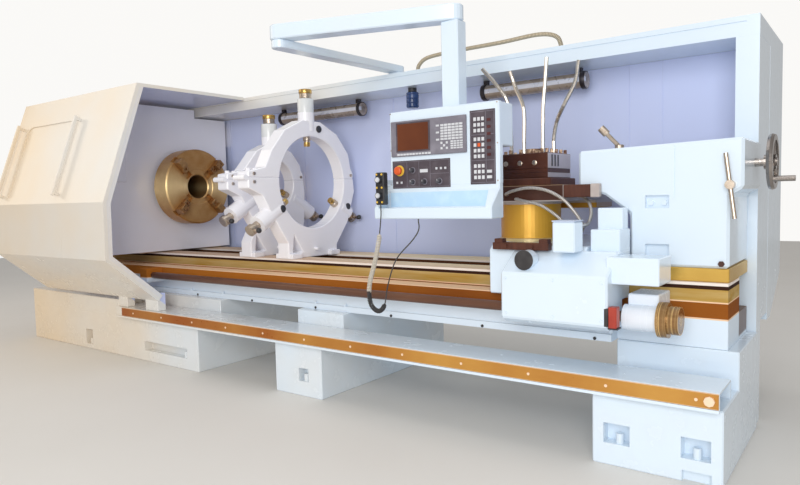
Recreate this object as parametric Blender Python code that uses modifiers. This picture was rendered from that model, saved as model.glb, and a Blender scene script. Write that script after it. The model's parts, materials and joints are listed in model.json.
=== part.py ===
"""Flat-bed turning lathe with a sliding guard door, two steady rests, a tool carriage and a tailstock.

Metres. x runs along the bed towards the tailstock, y from the operator to the back, z up.
Sizes below are measured from the right end of the rail, the front face of the rail and the floor;
the last step moves the whole machine so that the spindle line lies over y = 0.
"""

import math

import bmesh
import bpy
from mathutils import Matrix, Vector

for old in list(bpy.data.objects):
    bpy.data.objects.remove(old)

# Driving sizes
LINE_Y, LINE_Z = 0.71, 1.338
CHUCK_R, CHUCK_FACE = 0.315, -4.20
BORE_R = 0.098
WAY_TOP = 0.787
FRONT_WAY_TOP = 0.70
GUARD_TOP, GUARD_FRONT, PANEL_Y = 2.06, 0.90, 1.24
MACHINE_SHIFT = Vector((2.38, -LINE_Y, 0))
GAP = 0.0003

PARTS = bpy.data.collections.new("turning_lathe")
TOOLS = bpy.data.collections.new("shape_tools")
for group in (PARTS, TOOLS):
    bpy.context.scene.collection.children.link(group)


def paint(name, rgb, metallic=0.0, roughness=0.4):
    material = bpy.data.materials.new(name)
    material.use_nodes = True
    shader = material.node_tree.nodes["Principled BSDF"]
    shader.inputs["Base Color"].default_value = (*rgb, 1)
    shader.inputs["Metallic"].default_value = metallic
    shader.inputs["Roughness"].default_value = roughness
    material.diffuse_color = (*rgb, 1)
    return material


WHITE = (0.80, 0.83, 0.87)
LAVENDER = (0.55, 0.62, 0.82)
STEEL = (0.62, 0.52, 0.40)
DARK = (0.12, 0.07, 0.05)
BRONZE = (0.70, 0.46, 0.14)


def keep(name, mesh, rgb, bevel=0.0, metallic=0.0, roughness=0.4, at=(0, 0, 0), segments=1):
    """One solid with its own material, or a hidden tool when no colour is given."""
    item = bpy.data.objects.new(name, mesh)
    item.location = at
    (TOOLS if rgb is None else PARTS).objects.link(item)
    if rgb is None:
        item.hide_render = True
        item.display_type = "WIRE"
    else:
        mesh.materials.append(paint(name + "_finish", rgb, metallic, roughness))
    if bevel:
        edge = item.modifiers.new("soft edges", "BEVEL")
        edge.width = bevel
        edge.segments = segments
        edge.limit_method = "ANGLE"
        edge.angle_limit = math.radians(35)
    return item


def finished(name, shape, at=(0, 0, 0)):
    bmesh.ops.translate(shape, verts=shape.verts, vec=-Vector(at))
    bmesh.ops.recalc_face_normals(shape, faces=shape.faces)
    mesh = bpy.data.meshes.new(name)
    shape.to_mesh(mesh)
    shape.free()
    return mesh


def block(name, x, y, z, rgb=None, bevel=0.0, at=(0, 0, 0), **look):
    shape = bmesh.new()
    bmesh.ops.create_cube(shape, size=1)
    size = Matrix.Diagonal((x[1] - x[0], y[1] - y[0], z[1] - z[0], 1))
    middle = Matrix.Translation(((x[0] + x[1]) / 2, (y[0] + y[1]) / 2, (z[0] + z[1]) / 2))
    bmesh.ops.transform(shape, matrix=middle @ size, verts=shape.verts)
    return keep(name, finished(name, shape, at), rgb, bevel, at=at, **look)


AXIS_MAP = {
    "x": Matrix(((0, 0, 1, 0), (1, 0, 0, 0), (0, 1, 0, 0), (0, 0, 0, 1))),
    "y": Matrix(((1, 0, 0, 0), (0, 0, 1, 0), (0, 1, 0, 0), (0, 0, 0, 1))),
    "z": Matrix.Identity(4),
}


def plate(name, loops, axis, span, rgb=None, bevel=0.0, at=(0, 0, 0), **look):
    """A flat outline (with its holes) pushed along an axis from span[0] to span[1]."""
    curve = bpy.data.curves.new(name, "CURVE")
    curve.dimensions = "2D"
    curve.fill_mode = "BOTH"
    curve.extrude = (span[1] - span[0]) / 2
    for loop in loops:
        line = curve.splines.new("POLY")
        line.points.add(len(loop) - 1)
        for point, (a, b) in zip(line.points, loop):
            point.co = (a, b, 0, 1)
        line.use_cyclic_u = True
    drawn = bpy.data.objects.new(name, curve)
    TOOLS.objects.link(drawn)
    mesh = bpy.data.meshes.new_from_object(drawn)
    bpy.data.objects.remove(drawn)
    shape = bmesh.new()
    shape.from_mesh(mesh)
    bpy.data.meshes.remove(mesh)
    bmesh.ops.remove_doubles(shape, verts=shape.verts, dist=1e-5)
    bmesh.ops.dissolve_limit(shape, angle_limit=0.01, verts=shape.verts, edges=shape.edges)
    lift = Matrix.Translation((0, 0, (span[0] + span[1]) / 2))
    bmesh.ops.transform(shape, matrix=AXIS_MAP[axis] @ lift, verts=shape.verts)
    return keep(name, finished(name, shape, at), rgb, bevel, at=at, **look)


def turned(name, profile, centre, direction, rgb=None, steps=40, at=(0, 0, 0), closed=False, bevel=0.0,
           **look):
    """A lathe-turned piece: (radius, distance) points swept once round the direction."""
    shape = bmesh.new()
    points = [shape.verts.new((radius, 0, along)) for radius, along in profile]
    pairs = list(zip(points, points[1:])) + ([(points[-1], points[0])] if closed else [])
    edges = [shape.edges.new(pair) for pair in pairs]
    bmesh.ops.spin(
        shape, geom=points + edges, axis=(0, 0, 1), cent=(0, 0, 0), dvec=(0, 0, 0),
        angle=math.tau, steps=steps, use_duplicate=False,
    )
    bmesh.ops.remove_doubles(shape, verts=shape.verts, dist=1e-5)
    aim = Vector(direction).to_track_quat("Z", "Y").to_matrix().to_4x4()
    bmesh.ops.transform(shape, matrix=Matrix.Translation(centre) @ aim, verts=shape.verts)
    item = keep(name, finished(name, shape, at), rgb, bevel, at=at, **look)
    for face in item.data.polygons:
        face.use_smooth = True
    item.data.set_sharp_from_angle(angle=math.radians(35))
    return item


def rod(name, start, end, radius, rgb=None, steps=24, **look):
    along = Vector(end) - Vector(start)
    profile = [(0, 0), (radius, 0), (radius, along.length), (0, along.length)]
    return turned(name, profile, start, along, rgb, steps, **look)


def tube(name, route, radius, rgb, scale=None, **look):
    """A cable, hose or pipe along a smooth route."""
    curve = bpy.data.curves.new(name, "CURVE")
    curve.dimensions = "3D"
    curve.bevel_depth = radius
    curve.bevel_resolution = look.pop("resolution", 2)
    curve.use_fill_caps = True
    line = curve.splines.new("POLY")
    line.points.add(len(route) - 1)
    for number, (point, place) in enumerate(zip(line.points, route)):
        point.co = (*place, 1)
        point.radius = scale[number] if scale else 1
    item = bpy.data.objects.new(name, curve)
    PARTS.objects.link(item)
    curve.materials.append(paint(name + "_finish", rgb, **look))
    return item


def smooth(points, count):
    """Evenly spread points on a curve that passes through the given ones."""
    knots = [Vector(point) for point in points]
    knots = [2 * knots[0] - knots[1], *knots, 2 * knots[-1] - knots[-2]]
    dense = []
    for a, b, c, d in zip(knots, knots[1:], knots[2:], knots[3:]):
        for step in range(24):
            t = step / 24
            dense.append(0.5 * (2 * b + (c - a) * t + (2 * a - 5 * b + 4 * c - d) * t * t
                                + (3 * b - a - 3 * c + d) * t ** 3))
    dense.append(knots[-2])
    reach = [0.0]
    for a, b in zip(dense, dense[1:]):
        reach.append(reach[-1] + (b - a).length)
    route, near = [], 0
    for number in range(count):
        goal = reach[-1] * number / (count - 1)
        while near < len(reach) - 2 and reach[near + 1] < goal:
            near += 1
        part = (goal - reach[near]) / (reach[near + 1] - reach[near])
        route.append(tuple(dense[near].lerp(dense[near + 1], part)))
    step = reach[-1] / (count - 1)
    route[1] = tuple(knots[1] + (knots[2] - knots[1]).normalized() * step)
    route[-2] = tuple(knots[-2] + (knots[-3] - knots[-2]).normalized() * step)
    return route


def combine(item, tools, operation):
    for tool in tools:
        step = item.modifiers.new(operation.lower(), "BOOLEAN")
        step.operation = operation
        step.solver = "EXACT"
        step.object = tool
    return item


def join(item, *tools):
    return combine(item, tools, "UNION")


def cut(item, *tools):
    return combine(item, tools, "DIFFERENCE")


def arc(centre, radius, start, end, steps):
    """Points round a centre from one angle to another, in degrees."""
    angles = [math.radians(start + (end - start) * n / steps) for n in range(steps + 1)]
    return [(centre[0] + radius * math.cos(a), centre[1] + radius * math.sin(a)) for a in angles]


def offset(path, distance):
    """The open path moved sideways, with mitred corners."""
    points = [Vector(point) for point in path]
    sides = [(b - a).normalized().orthogonal() for a, b in zip(points, points[1:])]
    moved = []
    for number, point in enumerate(points):
        near = sides[max(number - 1, 0)]
        far = sides[min(number, len(sides) - 1)]
        across = (near + far).normalized()
        moved.append(point + across * distance / across.dot(near))
    return [tuple(point) for point in moved]


# Three cast feet that carry the bed, with pockets for the levelling screws
def foot(name, x, back, top_front, pockets, top=0.4895):
    body = block(name, x, (0.03, back), (0, 0.3212), WHITE, 0.006)
    join(body, block(name + "_upper", x, (top_front, back - 0.001), (0.30, top), None, 0.004))
    for number, (left, right, low, high, screw) in enumerate(pockets):
        cut(body, block(f"{name}_pocket_{number}", (left, right), (0, 0.095), (low, high)))
        if screw is not None:
            join(body, rod(f"{name}_screw_{number}", (screw, 0.058, low - 0.01), (screw, 0.058, low + 0.045),
                           0.017, steps=12))
    return body


foot_left = foot("foot_headstock", (-5.80, -3.37), 1.39, 0.24,
                 [(-4.03, -3.50, 0.084, 0.155, -3.54), (-4.89, -4.785, 0.04, 0.165, -4.84)])
join(foot_left, block("foot_shoulder", (-5.799, -4.37), (0.031, 0.30), (0.25, 0.45), None, 0.004))
foot("foot_middle", (-2.578, -2.181), 1.39, 0.24, [(-2.369, -2.287, 0.093, 0.175, -2.328)])
foot_right = foot("foot_tailstock", (-0.526, 0.01), 0.885, 0.372,
                  [(-0.475, -0.36, 0.10, 0.19, -0.41), (-0.151, -0.035, 0.10, 0.19, -0.092)])
cut(foot_right, block("foot_notch", (-0.147, -0.032), (0, 0.06), (-0.01, 0.05)))

# Bed with its four ground ways and the open chip channel between them
bed = plate("bed", [[(0.30, 0.49), (1.15, 0.49), (1.15, WAY_TOP), (0.92, WAY_TOP), (0.92, 0.62), (0.66, 0.62),
                     (0.66, WAY_TOP), (0.46, WAY_TOP), (0.46, 0.665), (0.40, 0.665), (0.40, FRONT_WAY_TOP),
                     (0.27, FRONT_WAY_TOP), (0.27, 0.625), (0.32, 0.625), (0.32, 0.525), (0.30, 0.525)]],
            "x", (-5.40, -0.04), STEEL, metallic=1.0, roughness=0.3)
join(bed, block("bed_screw_bearing", (-4.22, -4.12), (0.135, 0.33), (0.585, 0.695), None, 0.006))
cut(bed, rod("bed_screw_bearing_hole", (-4.30, 0.19, 0.64), (-4.0, 0.19, 0.64), 0.0235, steps=20))
cut(bed, block("bed_front_end", (-0.53, 0.0), (0.20, 0.402), (0.40, 0.80)))
join(bed, block("bed_end_block", (-0.55, -0.0405), (0.39, 0.60), (0.4905, WAY_TOP - 0.0001), None))
cut(bed, block("bed_rear_end", (-0.125, 0.0), (0.87, 1.20), (0.40, 0.90)))
for number, left in enumerate((-5.15, -3.25, -2.02, -1.35)):
    cut(bed, block(f"bed_chip_window_{number}", (left, left + 0.55), (0.70, 0.88), (0.40, 0.70)))
for number, (x, y) in enumerate(((-3.80, 0.309), (-3.42, 0.309), (-2.479, 0.309), (-2.22, 0.309))):
    join(bed, rod(f"bed_bolt_{number}", (x, y, 0.52), (x, y, 0.54), 0.008, steps=8))

# Rail tray along the front, with the ground strip the door rolls on
plate("rail_tray", [[(-0.012, 0.3215), (0.008, 0.3215), (0.008, 0.394), (0.227, 0.394), (0.227, 0.3215),
                     (0.235, 0.3215), (0.235, 0.402), (0.0, 0.402), (0.0, 0.3345), (-0.012, 0.3345)]],
      "x", (-4.35, 0.0), WHITE)
strip = block("rail_strip", (-4.26, -0.002), (-0.009, -GAP), (0.336, 0.399), STEEL,
              metallic=1.0, roughness=0.3)
for number in range(12):
    x = -4.10 + number * 0.365
    join(strip, rod(f"rail_screw_{number}", (x, -0.008, 0.367), (x, -0.0115, 0.367), 0.007, steps=8))
join(strip, rod("rail_end_bolt", (-0.035, -0.008, 0.367), (-0.035, -0.020, 0.367), 0.021, steps=8))

# Headstock casting and the spindle in it
headstock = block("headstock", (-5.36, -4.44), (0.28, 1.14), (WAY_TOP + GAP, 1.74), WHITE, 0.03, segments=2)
cut(headstock, rod("headstock_bore", (-5.6, LINE_Y, LINE_Z), (-4.2, LINE_Y, LINE_Z), 0.1605, steps=48))
turned("spindle", [(BORE_R, -1.22), (0.16, -1.22), (0.16, -0.205), (0.20, -0.205), (0.20, -0.1753),
                   (BORE_R, -0.1753)],
       (CHUCK_FACE, LINE_Y, LINE_Z), (1, 0, 0), STEEL, 48, closed=True, at=(CHUCK_FACE, LINE_Y, LINE_Z),
       metallic=1.0, roughness=0.3)
wall = plate("headstock_wall", [[(-0.275, 0.80), (1.19, 0.80), (1.19, 1.945), (0.86, 1.945), (0.86, 2.015),
                                 (-0.035, 2.015), (-0.325, 1.21), (-0.325, 0.86)],
                                arc((LINE_Y, LINE_Z), 0.17, 0, 352, 44)], "x", (-4.4395, -4.42), LAVENDER)
join(wall, block("wall_hatch", (-4.43, -4.41), (-0.02, 0.18), (1.38, 1.62), None, 0.004))

# Four-jaw chuck: body with slots, each jaw on its own slide
chuck = turned("chuck_body", [(BORE_R, -0.175), (0.305, -0.175), (CHUCK_R, -0.165), (CHUCK_R, -0.01),
                              (0.305, 0), (0.150, 0), (0.145, -0.004), (BORE_R + 0.01, -0.004),
                              (BORE_R, -0.012)],
               (CHUCK_FACE, LINE_Y, LINE_Z), (1, 0, 0), STEEL, 64, closed=True,
               at=(CHUCK_FACE, LINE_Y, LINE_Z), metallic=1.0, roughness=0.25)


def spoke(name, angle, radii, half, x, rgb=None, bevel=0.0, **look):
    """A block standing out from the spindle line at an angle from +y."""
    item = block(name, x, radii, (-half, half), rgb, bevel, **look)
    turn = Matrix.Translation((0, LINE_Y, LINE_Z)) @ Matrix.Rotation(math.radians(angle), 4, "X")
    item.data.transform(turn)
    return item


for number, angle in enumerate((45, 135, 225, 315)):
    cut(chuck, spoke(f"jaw_slot_{number}", angle, (0.112, 0.34), 0.0305, (-4.235, -4.19)))
    jaw = spoke(f"chuck_jaw_{number + 1}", angle, (0.175, 0.30), 0.030, (-4.2347, -4.165), STEEL, 0.003,
                metallic=1.0, roughness=0.3)
    join(jaw, spoke(f"jaw_step_{number}", angle, (0.225, 0.299), 0.0295, (-4.17, -4.135), None, 0.003))
    cut(jaw, spoke(f"jaw_screw_hole_{number}", angle, (0.19, 0.21), 0.010, (-4.18, -4.10)))

# Sliding guard door: one folded sheet over the front and top, a deeper frame at its right edge
DOOR = [(0.02, 0.478), (-0.375, 0.815), (-0.37, 1.22), (-0.07, 2.066), (0.896, 2.066)]


def folded(name, thick, x, rgb=None, path=DOOR):
    inner = offset(path, -thick)
    return plate(name, [path + inner[::-1]], "x", x, rgb)


door = folded("sliding_door", 0.025, (-5.50, -3.80), WHITE)
join(door, folded("door_right_frame", 0.055, (-3.84, -3.8005), path=DOOR[:4]))
for number, (left, right) in enumerate(((-4.34, -4.22), (-3.97, -3.81))):
    join(door, block(f"door_roller_{number}", (left, right), (0.016, 0.085), (0.4023, 0.535), None, 0.004))
FOLD = Vector((0, DOOR[3][0] - DOOR[2][0], DOOR[3][1] - DOOR[2][1])).normalized()
OUT = Vector((0, FOLD.z, -FOLD.y)) * -1


def fold_plate(name, outline, depth, rgb=None, **look):
    item = plate(name, [outline], "z", depth, rgb, **look)
    item.data.transform(Matrix((
        (1, 0, 0, 0), (0, FOLD.y, OUT.y, DOOR[2][0]), (0, FOLD.z, OUT.z, DOOR[2][1]), (0, 0, 0, 1))))
    return item


window = [(-5.30, 0.06), (-4.56, 0.06), (-4.56, 0.60), *arc((-4.62, 0.62), 0.06, 0, 90, 5),
          *arc((-5.24, 0.62), 0.06, 90, 180, 5)]
cut(door, fold_plate("door_window_recess", window, (-0.008, 0.05)))
cut(door, block("door_seam", (-4.402, -4.398), (-0.5, -0.372), (0.83, 1.21)))
for name, x in (("door_handle_left", -5.40), ("door_handle_right", -4.46)):
    bar = fold_plate(name, [(x - 0.012, 0.05), (x + 0.012, 0.05), (x + 0.012, 0.69), (x - 0.012, 0.69)],
                     (0.030, 0.055), WHITE, bevel=0.004)
    for number, up in enumerate((0.06, 0.66)):
        foot_outline = [(x - 0.010, up), (x + 0.010, up), (x + 0.010, up + 0.02), (x - 0.010, up + 0.02)]
        join(bar, fold_plate(f"{name}_post_{number}", foot_outline, (GAP, 0.035)))

# Rear guard: top beam, end posts, closed cabinet behind, and the splash panel in front of it
guard = plate("rear_guard", [[(PANEL_Y + 0.02, 0.4898), (1.38, 0.4898), (1.78, 0.704), (1.78, GUARD_TOP),
                              (GUARD_FRONT, GUARD_TOP), (GUARD_FRONT, 1.96), (PANEL_Y + 0.02, 1.96)]],
              "x", (-5.50, 0.0), WHITE)
POSTS = (("guard_post_right", (-0.107, -0.0005), 0.0), ("guard_post_left", (-5.4995, -5.42), 0.4898))
for name, x, low in POSTS:
    join(guard, plate(name, [[(GUARD_FRONT + 0.0005, low), (1.03, low), (1.03, 0.53), (1.40, 0.53),
                              (1.40, 2.0), (GUARD_FRONT + 0.0005, 2.0)]], "x", x))
cut(guard, block("guard_groove", (-5.44, -0.06), (0.85, 0.906), (2.027, 2.033)))
panel = block("splash_panel", (-5.415, -0.1075), (PANEL_Y, PANEL_Y + 0.0195), (0.55, 1.9595), LAVENDER)
for number, x in enumerate((-4.4, -3.45, -2.5, -1.6, -0.735, -0.543)):
    cut(panel, block(f"panel_seam_{number}", (x - 0.002, x + 0.002), (PANEL_Y - 0.01, PANEL_Y + 0.004),
                     (0.5, 2.0)))
for name, left, right in (("work_lamp_left", -3.58, -2.70), ("work_lamp_right", -1.66, -0.95)):
    lamp = rod(name, (left, 1.12, 1.885), (right, 1.12, 1.885), 0.026, (0.75, 0.80, 0.9), roughness=0.2)
    for number, x in enumerate((left + 0.02, right - 0.05)):
        cap = rod(f"{name}_cap_{number}", (x - 0.025, 1.12, 1.885), (x + 0.035, 1.12, 1.885), 0.034, steps=20)
        hanger = block(f"{name}_hanger_{number}", (x - 0.01, x + 0.02), (1.105, 1.135), (1.89, 1.96 - GAP))
        join(lamp, cap, hanger)

# Carriage: saddle with apron in front, then the fixed cross guide on its round base
saddle = plate("saddle", [[(0.205, FRONT_WAY_TOP + GAP), (0.43, FRONT_WAY_TOP + GAP), (0.43, WAY_TOP + GAP),
                           (1.15, WAY_TOP + GAP), (1.15, 0.95), (0.235, 0.95), (0.205, 0.925)]],
               "x", (-1.13, -0.62), WHITE, 0.006)
join(saddle,
     plate("apron", [[(0.05, 0.61), (0.05, 0.83), (0.20, 0.93), (0.262, 0.93), (0.262, 0.585),
                      (0.09, 0.585)]], "x", (-0.985, -0.464), None, 0.008),
     block("saddle_wing", (-0.90, -0.47), (0.21, 0.385), (0.7004, 0.93), None, 0.006),
     block("saddle_wing_box", (-0.612, -0.472), (0.25, 0.40), (0.90, 1.03), None, 0.004),
     block("saddle_wing_cap", (-0.60, -0.48), (0.315, 0.395), (1.02, 1.13), None, 0.004),
     block("apron_end_box", (-0.49, -0.26), (0.11, 0.30), (0.795, 0.915), None, 0.004),
     rod("apron_round_cap", (-0.885, 0.19, 0.886), (-0.885, 0.105, 0.886), 0.043, steps=24))
cut(saddle, rod("apron_screw_hole", (-1.2, 0.19, 0.64), (-0.3, 0.19, 0.64), 0.030, steps=20))
TURRET = (-1.085, 0.645)
guide = turned("cross_guide", [(0, 0.9503), (0.172, 0.9503), (0.172, 0.965), (0.165, 0.968), (0.165, 1.150),
                               (0.172, 1.153), (0.172, 1.17), (0, 1.17)],
               (TURRET[0], TURRET[1] - 0.035, 0), (0, 0, 1), BRONZE, 56, metallic=1.0, roughness=0.3)
join(guide,
     block("cross_guide_rail", (-1.27, -0.80), (0.38, 1.05), (1.165, 1.249), None, 0.004),
     block("cross_guide_motor", (-1.20, -0.802), (0.86, 1.13), (1.12, 1.235), None, 0.006))
cut(guide, block("cross_guide_slot", (-0.83, -0.70), (0.41, 0.84), (1.182, 1.228)))
slide = block("cross_slide", (-1.262, -0.908), (0.47, 0.82), (1.2493, 1.290), DARK, 0.004,
              metallic=0.8, roughness=0.35)
HALF = 0.157
turret = block("tool_turret", (TURRET[0] - HALF, TURRET[0] + HALF), (TURRET[1] - HALF, TURRET[1] + HALF),
               (1.2903, 1.425), DARK, 0.004, at=(*TURRET, 0), metallic=0.8, roughness=0.35)
for number, (dx, dy) in enumerate(((0, -1), (1, 0), (0, 1), (-1, 0))):
    side = Matrix.Translation((*TURRET, 0)) @ Matrix.Rotation(math.radians(90 * number), 4, "Z")
    slot = block(f"turret_slot_{number}", (-0.2, 0.2), (-HALF - 0.05, -HALF + 0.028), (1.3185, 1.3420))
    slot.data.transform(side)
    cut(turret, slot)
    for place in range(5):
        x = -HALF + 0.026 + place * (HALF - 0.033) / 2
        bolt = rod(f"turret_bolt_{number}_{place}", (x, -HALF + 0.016, 1.42), (x, -HALF + 0.016, 1.447),
                   0.0095, steps=6)
        bolt.data.transform(side)
        join(turret, bolt)
join(turret, rod("turret_clamp", (*TURRET, 1.42), (*TURRET, 1.455), 0.05, steps=24))

# Four stiff coolant pipes standing on the turret


def pipe_route(along, across, bends):
    """Straight up from a place on the turret, given as parts of its half width, then through the bends."""
    foot_x, foot_y = TURRET[0] + along * HALF, TURRET[1] + across * HALF
    return [(foot_x, foot_y, 1.4254), (foot_x, foot_y, 1.50), *bends]


PIPES = (
    pipe_route(-0.72, -0.242, [(-1.216, 0.605, 1.714), (-1.277, 0.60, 1.818), (-1.375, 0.60, 1.93)]),
    pipe_route(-0.127, -0.446, [(-1.110, 0.585, 1.676), (-1.164, 0.60, 1.794), (-1.199, 0.60, 1.893)]),
    pipe_route(0.51, -0.287, [(-1.002, 0.60, 1.666), (-0.990, 0.60, 1.80), (-0.979, 0.60, 1.94)]),
    pipe_route(0.72, 0.153, [(-0.940, 0.64, 1.60), (-0.875, 0.60, 1.69), (-0.82, 0.60, 1.79),
                             (-0.80, 0.60, 1.90)]),
)
for number, route in enumerate(PIPES):
    tube(f"coolant_pipe_{number + 1}", smooth(route, 16), 0.011, STEEL, metallic=1.0, roughness=0.3)

# Small fittings of the carriage
wiper = block("way_wiper", (-1.085, -0.785), (0.158, 0.2045), (0.9303, 0.966), DARK, 0.003, metallic=0.6)
for number, x in enumerate((-1.075, -0.835)):
    join(wiper, block(f"wiper_foot_{number}", (x, x + 0.045), (0.160, 0.2043), (0.932, 0.985), None, 0.002))
for number, x in enumerate((-1.01, -0.87)):
    join(wiper, rod(f"wiper_bolt_{number}", (x, 0.165, 0.949), (x, 0.150, 0.949), 0.009, steps=8))
block("lube_box", (-0.735, -0.627), (0.090, 0.196), (0.931, 1.073), WHITE, 0.006)
HOSES = (
    [(-1.11, 0.3795, 1.205), (-1.11, 0.352, 1.205), (-1.06, 0.336, 1.222), (-0.97, 0.332, 1.236),
     (-0.87, 0.33, 1.222), (-0.78, 0.33, 1.175), (-0.715, 0.33, 1.105), (-0.68, 0.32, 1.055),
     (-0.662, 0.285, 1.028), (-0.66, 0.235, 1.02), (-0.66, 0.1965, 1.02)],
    [(-1.05, 0.3795, 1.18), (-1.05, 0.352, 1.18), (-0.99, 0.337, 1.168), (-0.91, 0.333, 1.15),
     (-0.83, 0.33, 1.105), (-0.77, 0.325, 1.055), (-0.73, 0.295, 1.02), (-0.708, 0.25, 1.01),
     (-0.705, 0.225, 1.01), (-0.705, 0.1965, 1.01)],
    [(-0.8295, 0.50, 1.193), (-0.80, 0.50, 1.193), (-0.755, 0.475, 1.19), (-0.705, 0.43, 1.18),
     (-0.665, 0.385, 1.15), (-0.642, 0.345, 1.105), (-0.637, 0.297, 1.060), (-0.637, 0.24, 1.052),
     (-0.640, 0.1965, 1.052)],
)
hose_routes = [smooth(route, 34) for route in HOSES]
for number, route in enumerate(hose_routes):
    tube(f"coolant_hose_{number + 1}", route, 0.0085, (0.75, 0.74, 0.72), metallic=0.7, roughness=0.3)

# Ball screw under the front way and its end bearing
turned("ball_screw", [(0, -4.17), (0.0228, -4.17), (0.0228, -4.10), (0.025, -4.095), (0.025, -0.445),
                      (0.0205, -0.44), (0.0205, -0.30), (0, -0.30)],
       (0, 0.19, 0.64), (1, 0, 0), STEEL, 20, at=(0, 0.19, 0.64), metallic=1.0, roughness=0.3)
bearing = block("screw_bearing", (-0.42, -0.285), (0.20, 0.3897), (0.575, 0.745), WHITE, 0.005)
join(bearing,
     rod("bearing_barrel", (-0.43, 0.19, 0.64), (-0.275, 0.19, 0.64), 0.058, steps=32),
     rod("bearing_ring", (-0.28, 0.19, 0.64), (-0.237, 0.19, 0.64), 0.078, steps=36),
     rod("bearing_cap", (-0.24, 0.19, 0.64), (-0.19, 0.19, 0.64), 0.062, steps=32))
cut(bearing, rod("bearing_hole", (-0.5, 0.19, 0.64), (-0.299, 0.19, 0.64), 0.021, steps=20))

# Tailstock: base, barrel casting, quill with its centre, handwheel and two levers
block("tailstock_base", (-0.47, -0.042), (0.42, 0.893), (WAY_TOP + GAP, 0.8497), BRONZE, 0.003, metallic=0.9)
tail = plate("tailstock_body", [[(-0.48, 0.85), (-0.044, 0.85), (-0.044, 1.18), (0.012, 1.21), (0.012, 1.432),
                                 (-0.735, 1.412), (-0.735, 1.235), (-0.60, 1.19), (-0.48, 1.10)]],
             "y", (0.42, 0.893), WHITE, 0.012)
cut(tail,
    rod("tail_bore", (-1.0, LINE_Y, LINE_Z - 0.01), (-0.02, LINE_Y, LINE_Z - 0.01), 0.0786, steps=40),
    rod("tail_screw_hole", (-0.05, LINE_Y, LINE_Z - 0.01), (0.05, LINE_Y, LINE_Z - 0.01), 0.0205, steps=16),
    block("tail_seam", (-0.278, -0.274), (0.40, 0.424), (1.17, 1.50)),
    block("tail_pocket_high", (-0.408, -0.300), (0.40, 0.445), (1.125, 1.185)),
    block("tail_pocket_low", (-0.408, -0.300), (0.40, 0.445), (0.89, 0.955)))
for number, x in enumerate((-0.385, -0.325)):
    join(tail, rod(f"tail_pocket_bolt_{number}", (x, 0.47, 1.150), (x, 0.432, 1.150), 0.014, steps=6))
QUILL = (-0.745, LINE_Y, LINE_Z - 0.01)
turned("tailstock_quill", [(0, -0.085), (0.026, -0.040), (0.030, 0), (0.070, 0), (0.078, 0.008),
                           (0.078, 0.59), (0, 0.59)],
       QUILL, (1, 0, 0), STEEL, 40, at=QUILL, metallic=1.0, roughness=0.2)
WHEEL = (0.085, LINE_Y, LINE_Z - 0.01)
wheel = turned("handwheel", [(0.100, -0.013), (0.125, -0.013), (0.130, 0), (0.125, 0.013), (0.100, 0.013)],
               WHEEL, (1, 0, 0), (0.35, 0.33, 0.32), 48, closed=True, at=WHEEL, metallic=0.9, roughness=0.25)
join(wheel, rod("wheel_hub", (-0.015, *WHEEL[1:]), (0.105, *WHEEL[1:]), 0.020, steps=16),
     rod("wheel_boss", (0.05, *WHEEL[1:]), (0.10, *WHEEL[1:]), 0.034, steps=20))
for number in range(3):
    angle = math.radians(90 + 120 * number)
    end = (WHEEL[0], WHEEL[1] + 0.110 * math.cos(angle), WHEEL[2] + 0.110 * math.sin(angle))
    join(wheel, rod(f"wheel_spoke_{number}", WHEEL, end, 0.011, steps=10))
GRIP_Y, GRIP_Z = WHEEL[1] - 0.08, WHEEL[2] - 0.08
join(wheel, rod("wheel_grip", (0.09, GRIP_Y, GRIP_Z), (0.185, GRIP_Y, GRIP_Z), 0.013, steps=12))
LOCK = (-0.555, 0.50, 1.4176)
lock = turned("quill_lock_lever", [(0, 0.0002), (0.022, 0.0002), (0.022, 0.018), (0.012, 0.022), (0, 0.022)],
              LOCK, (0, 0, 1), (0.30, 0.20, 0.13), 20, at=LOCK, metallic=0.8)
LOCK_ARM = Vector((-0.065, -0.02, 0.075))
ROOT = Vector(LOCK) + Vector((0, 0, 0.010))
join(lock, rod("lock_arm", ROOT, ROOT + LOCK_ARM, 0.011, steps=10),
     rod("lock_grip", ROOT + LOCK_ARM * 0.86, ROOT + LOCK_ARM * 1.30, 0.019, steps=12))
PIVOT = (-0.040, 0.4197, 1.225)
clamp = rod("clamp_lever", PIVOT, (PIVOT[0], 0.385, PIVOT[2]), 0.020, (0.5, 0.48, 0.5), steps=20, at=PIVOT,
            metallic=0.8)
join(clamp, rod("clamp_arm", (-0.020, 0.395, 1.075), (-0.058, 0.395, 1.364), 0.010, steps=12))

# Two steady rests: lower half on the ways, hinged upper half, three quills each
RING = (LINE_Y, 1.33)
SPLIT = RING[1] + 0.03


def spoke_point(angle, radius):
    turn = math.radians(angle)
    return (RING[0] + radius * math.cos(turn), RING[1] + radius * math.sin(turn))


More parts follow.
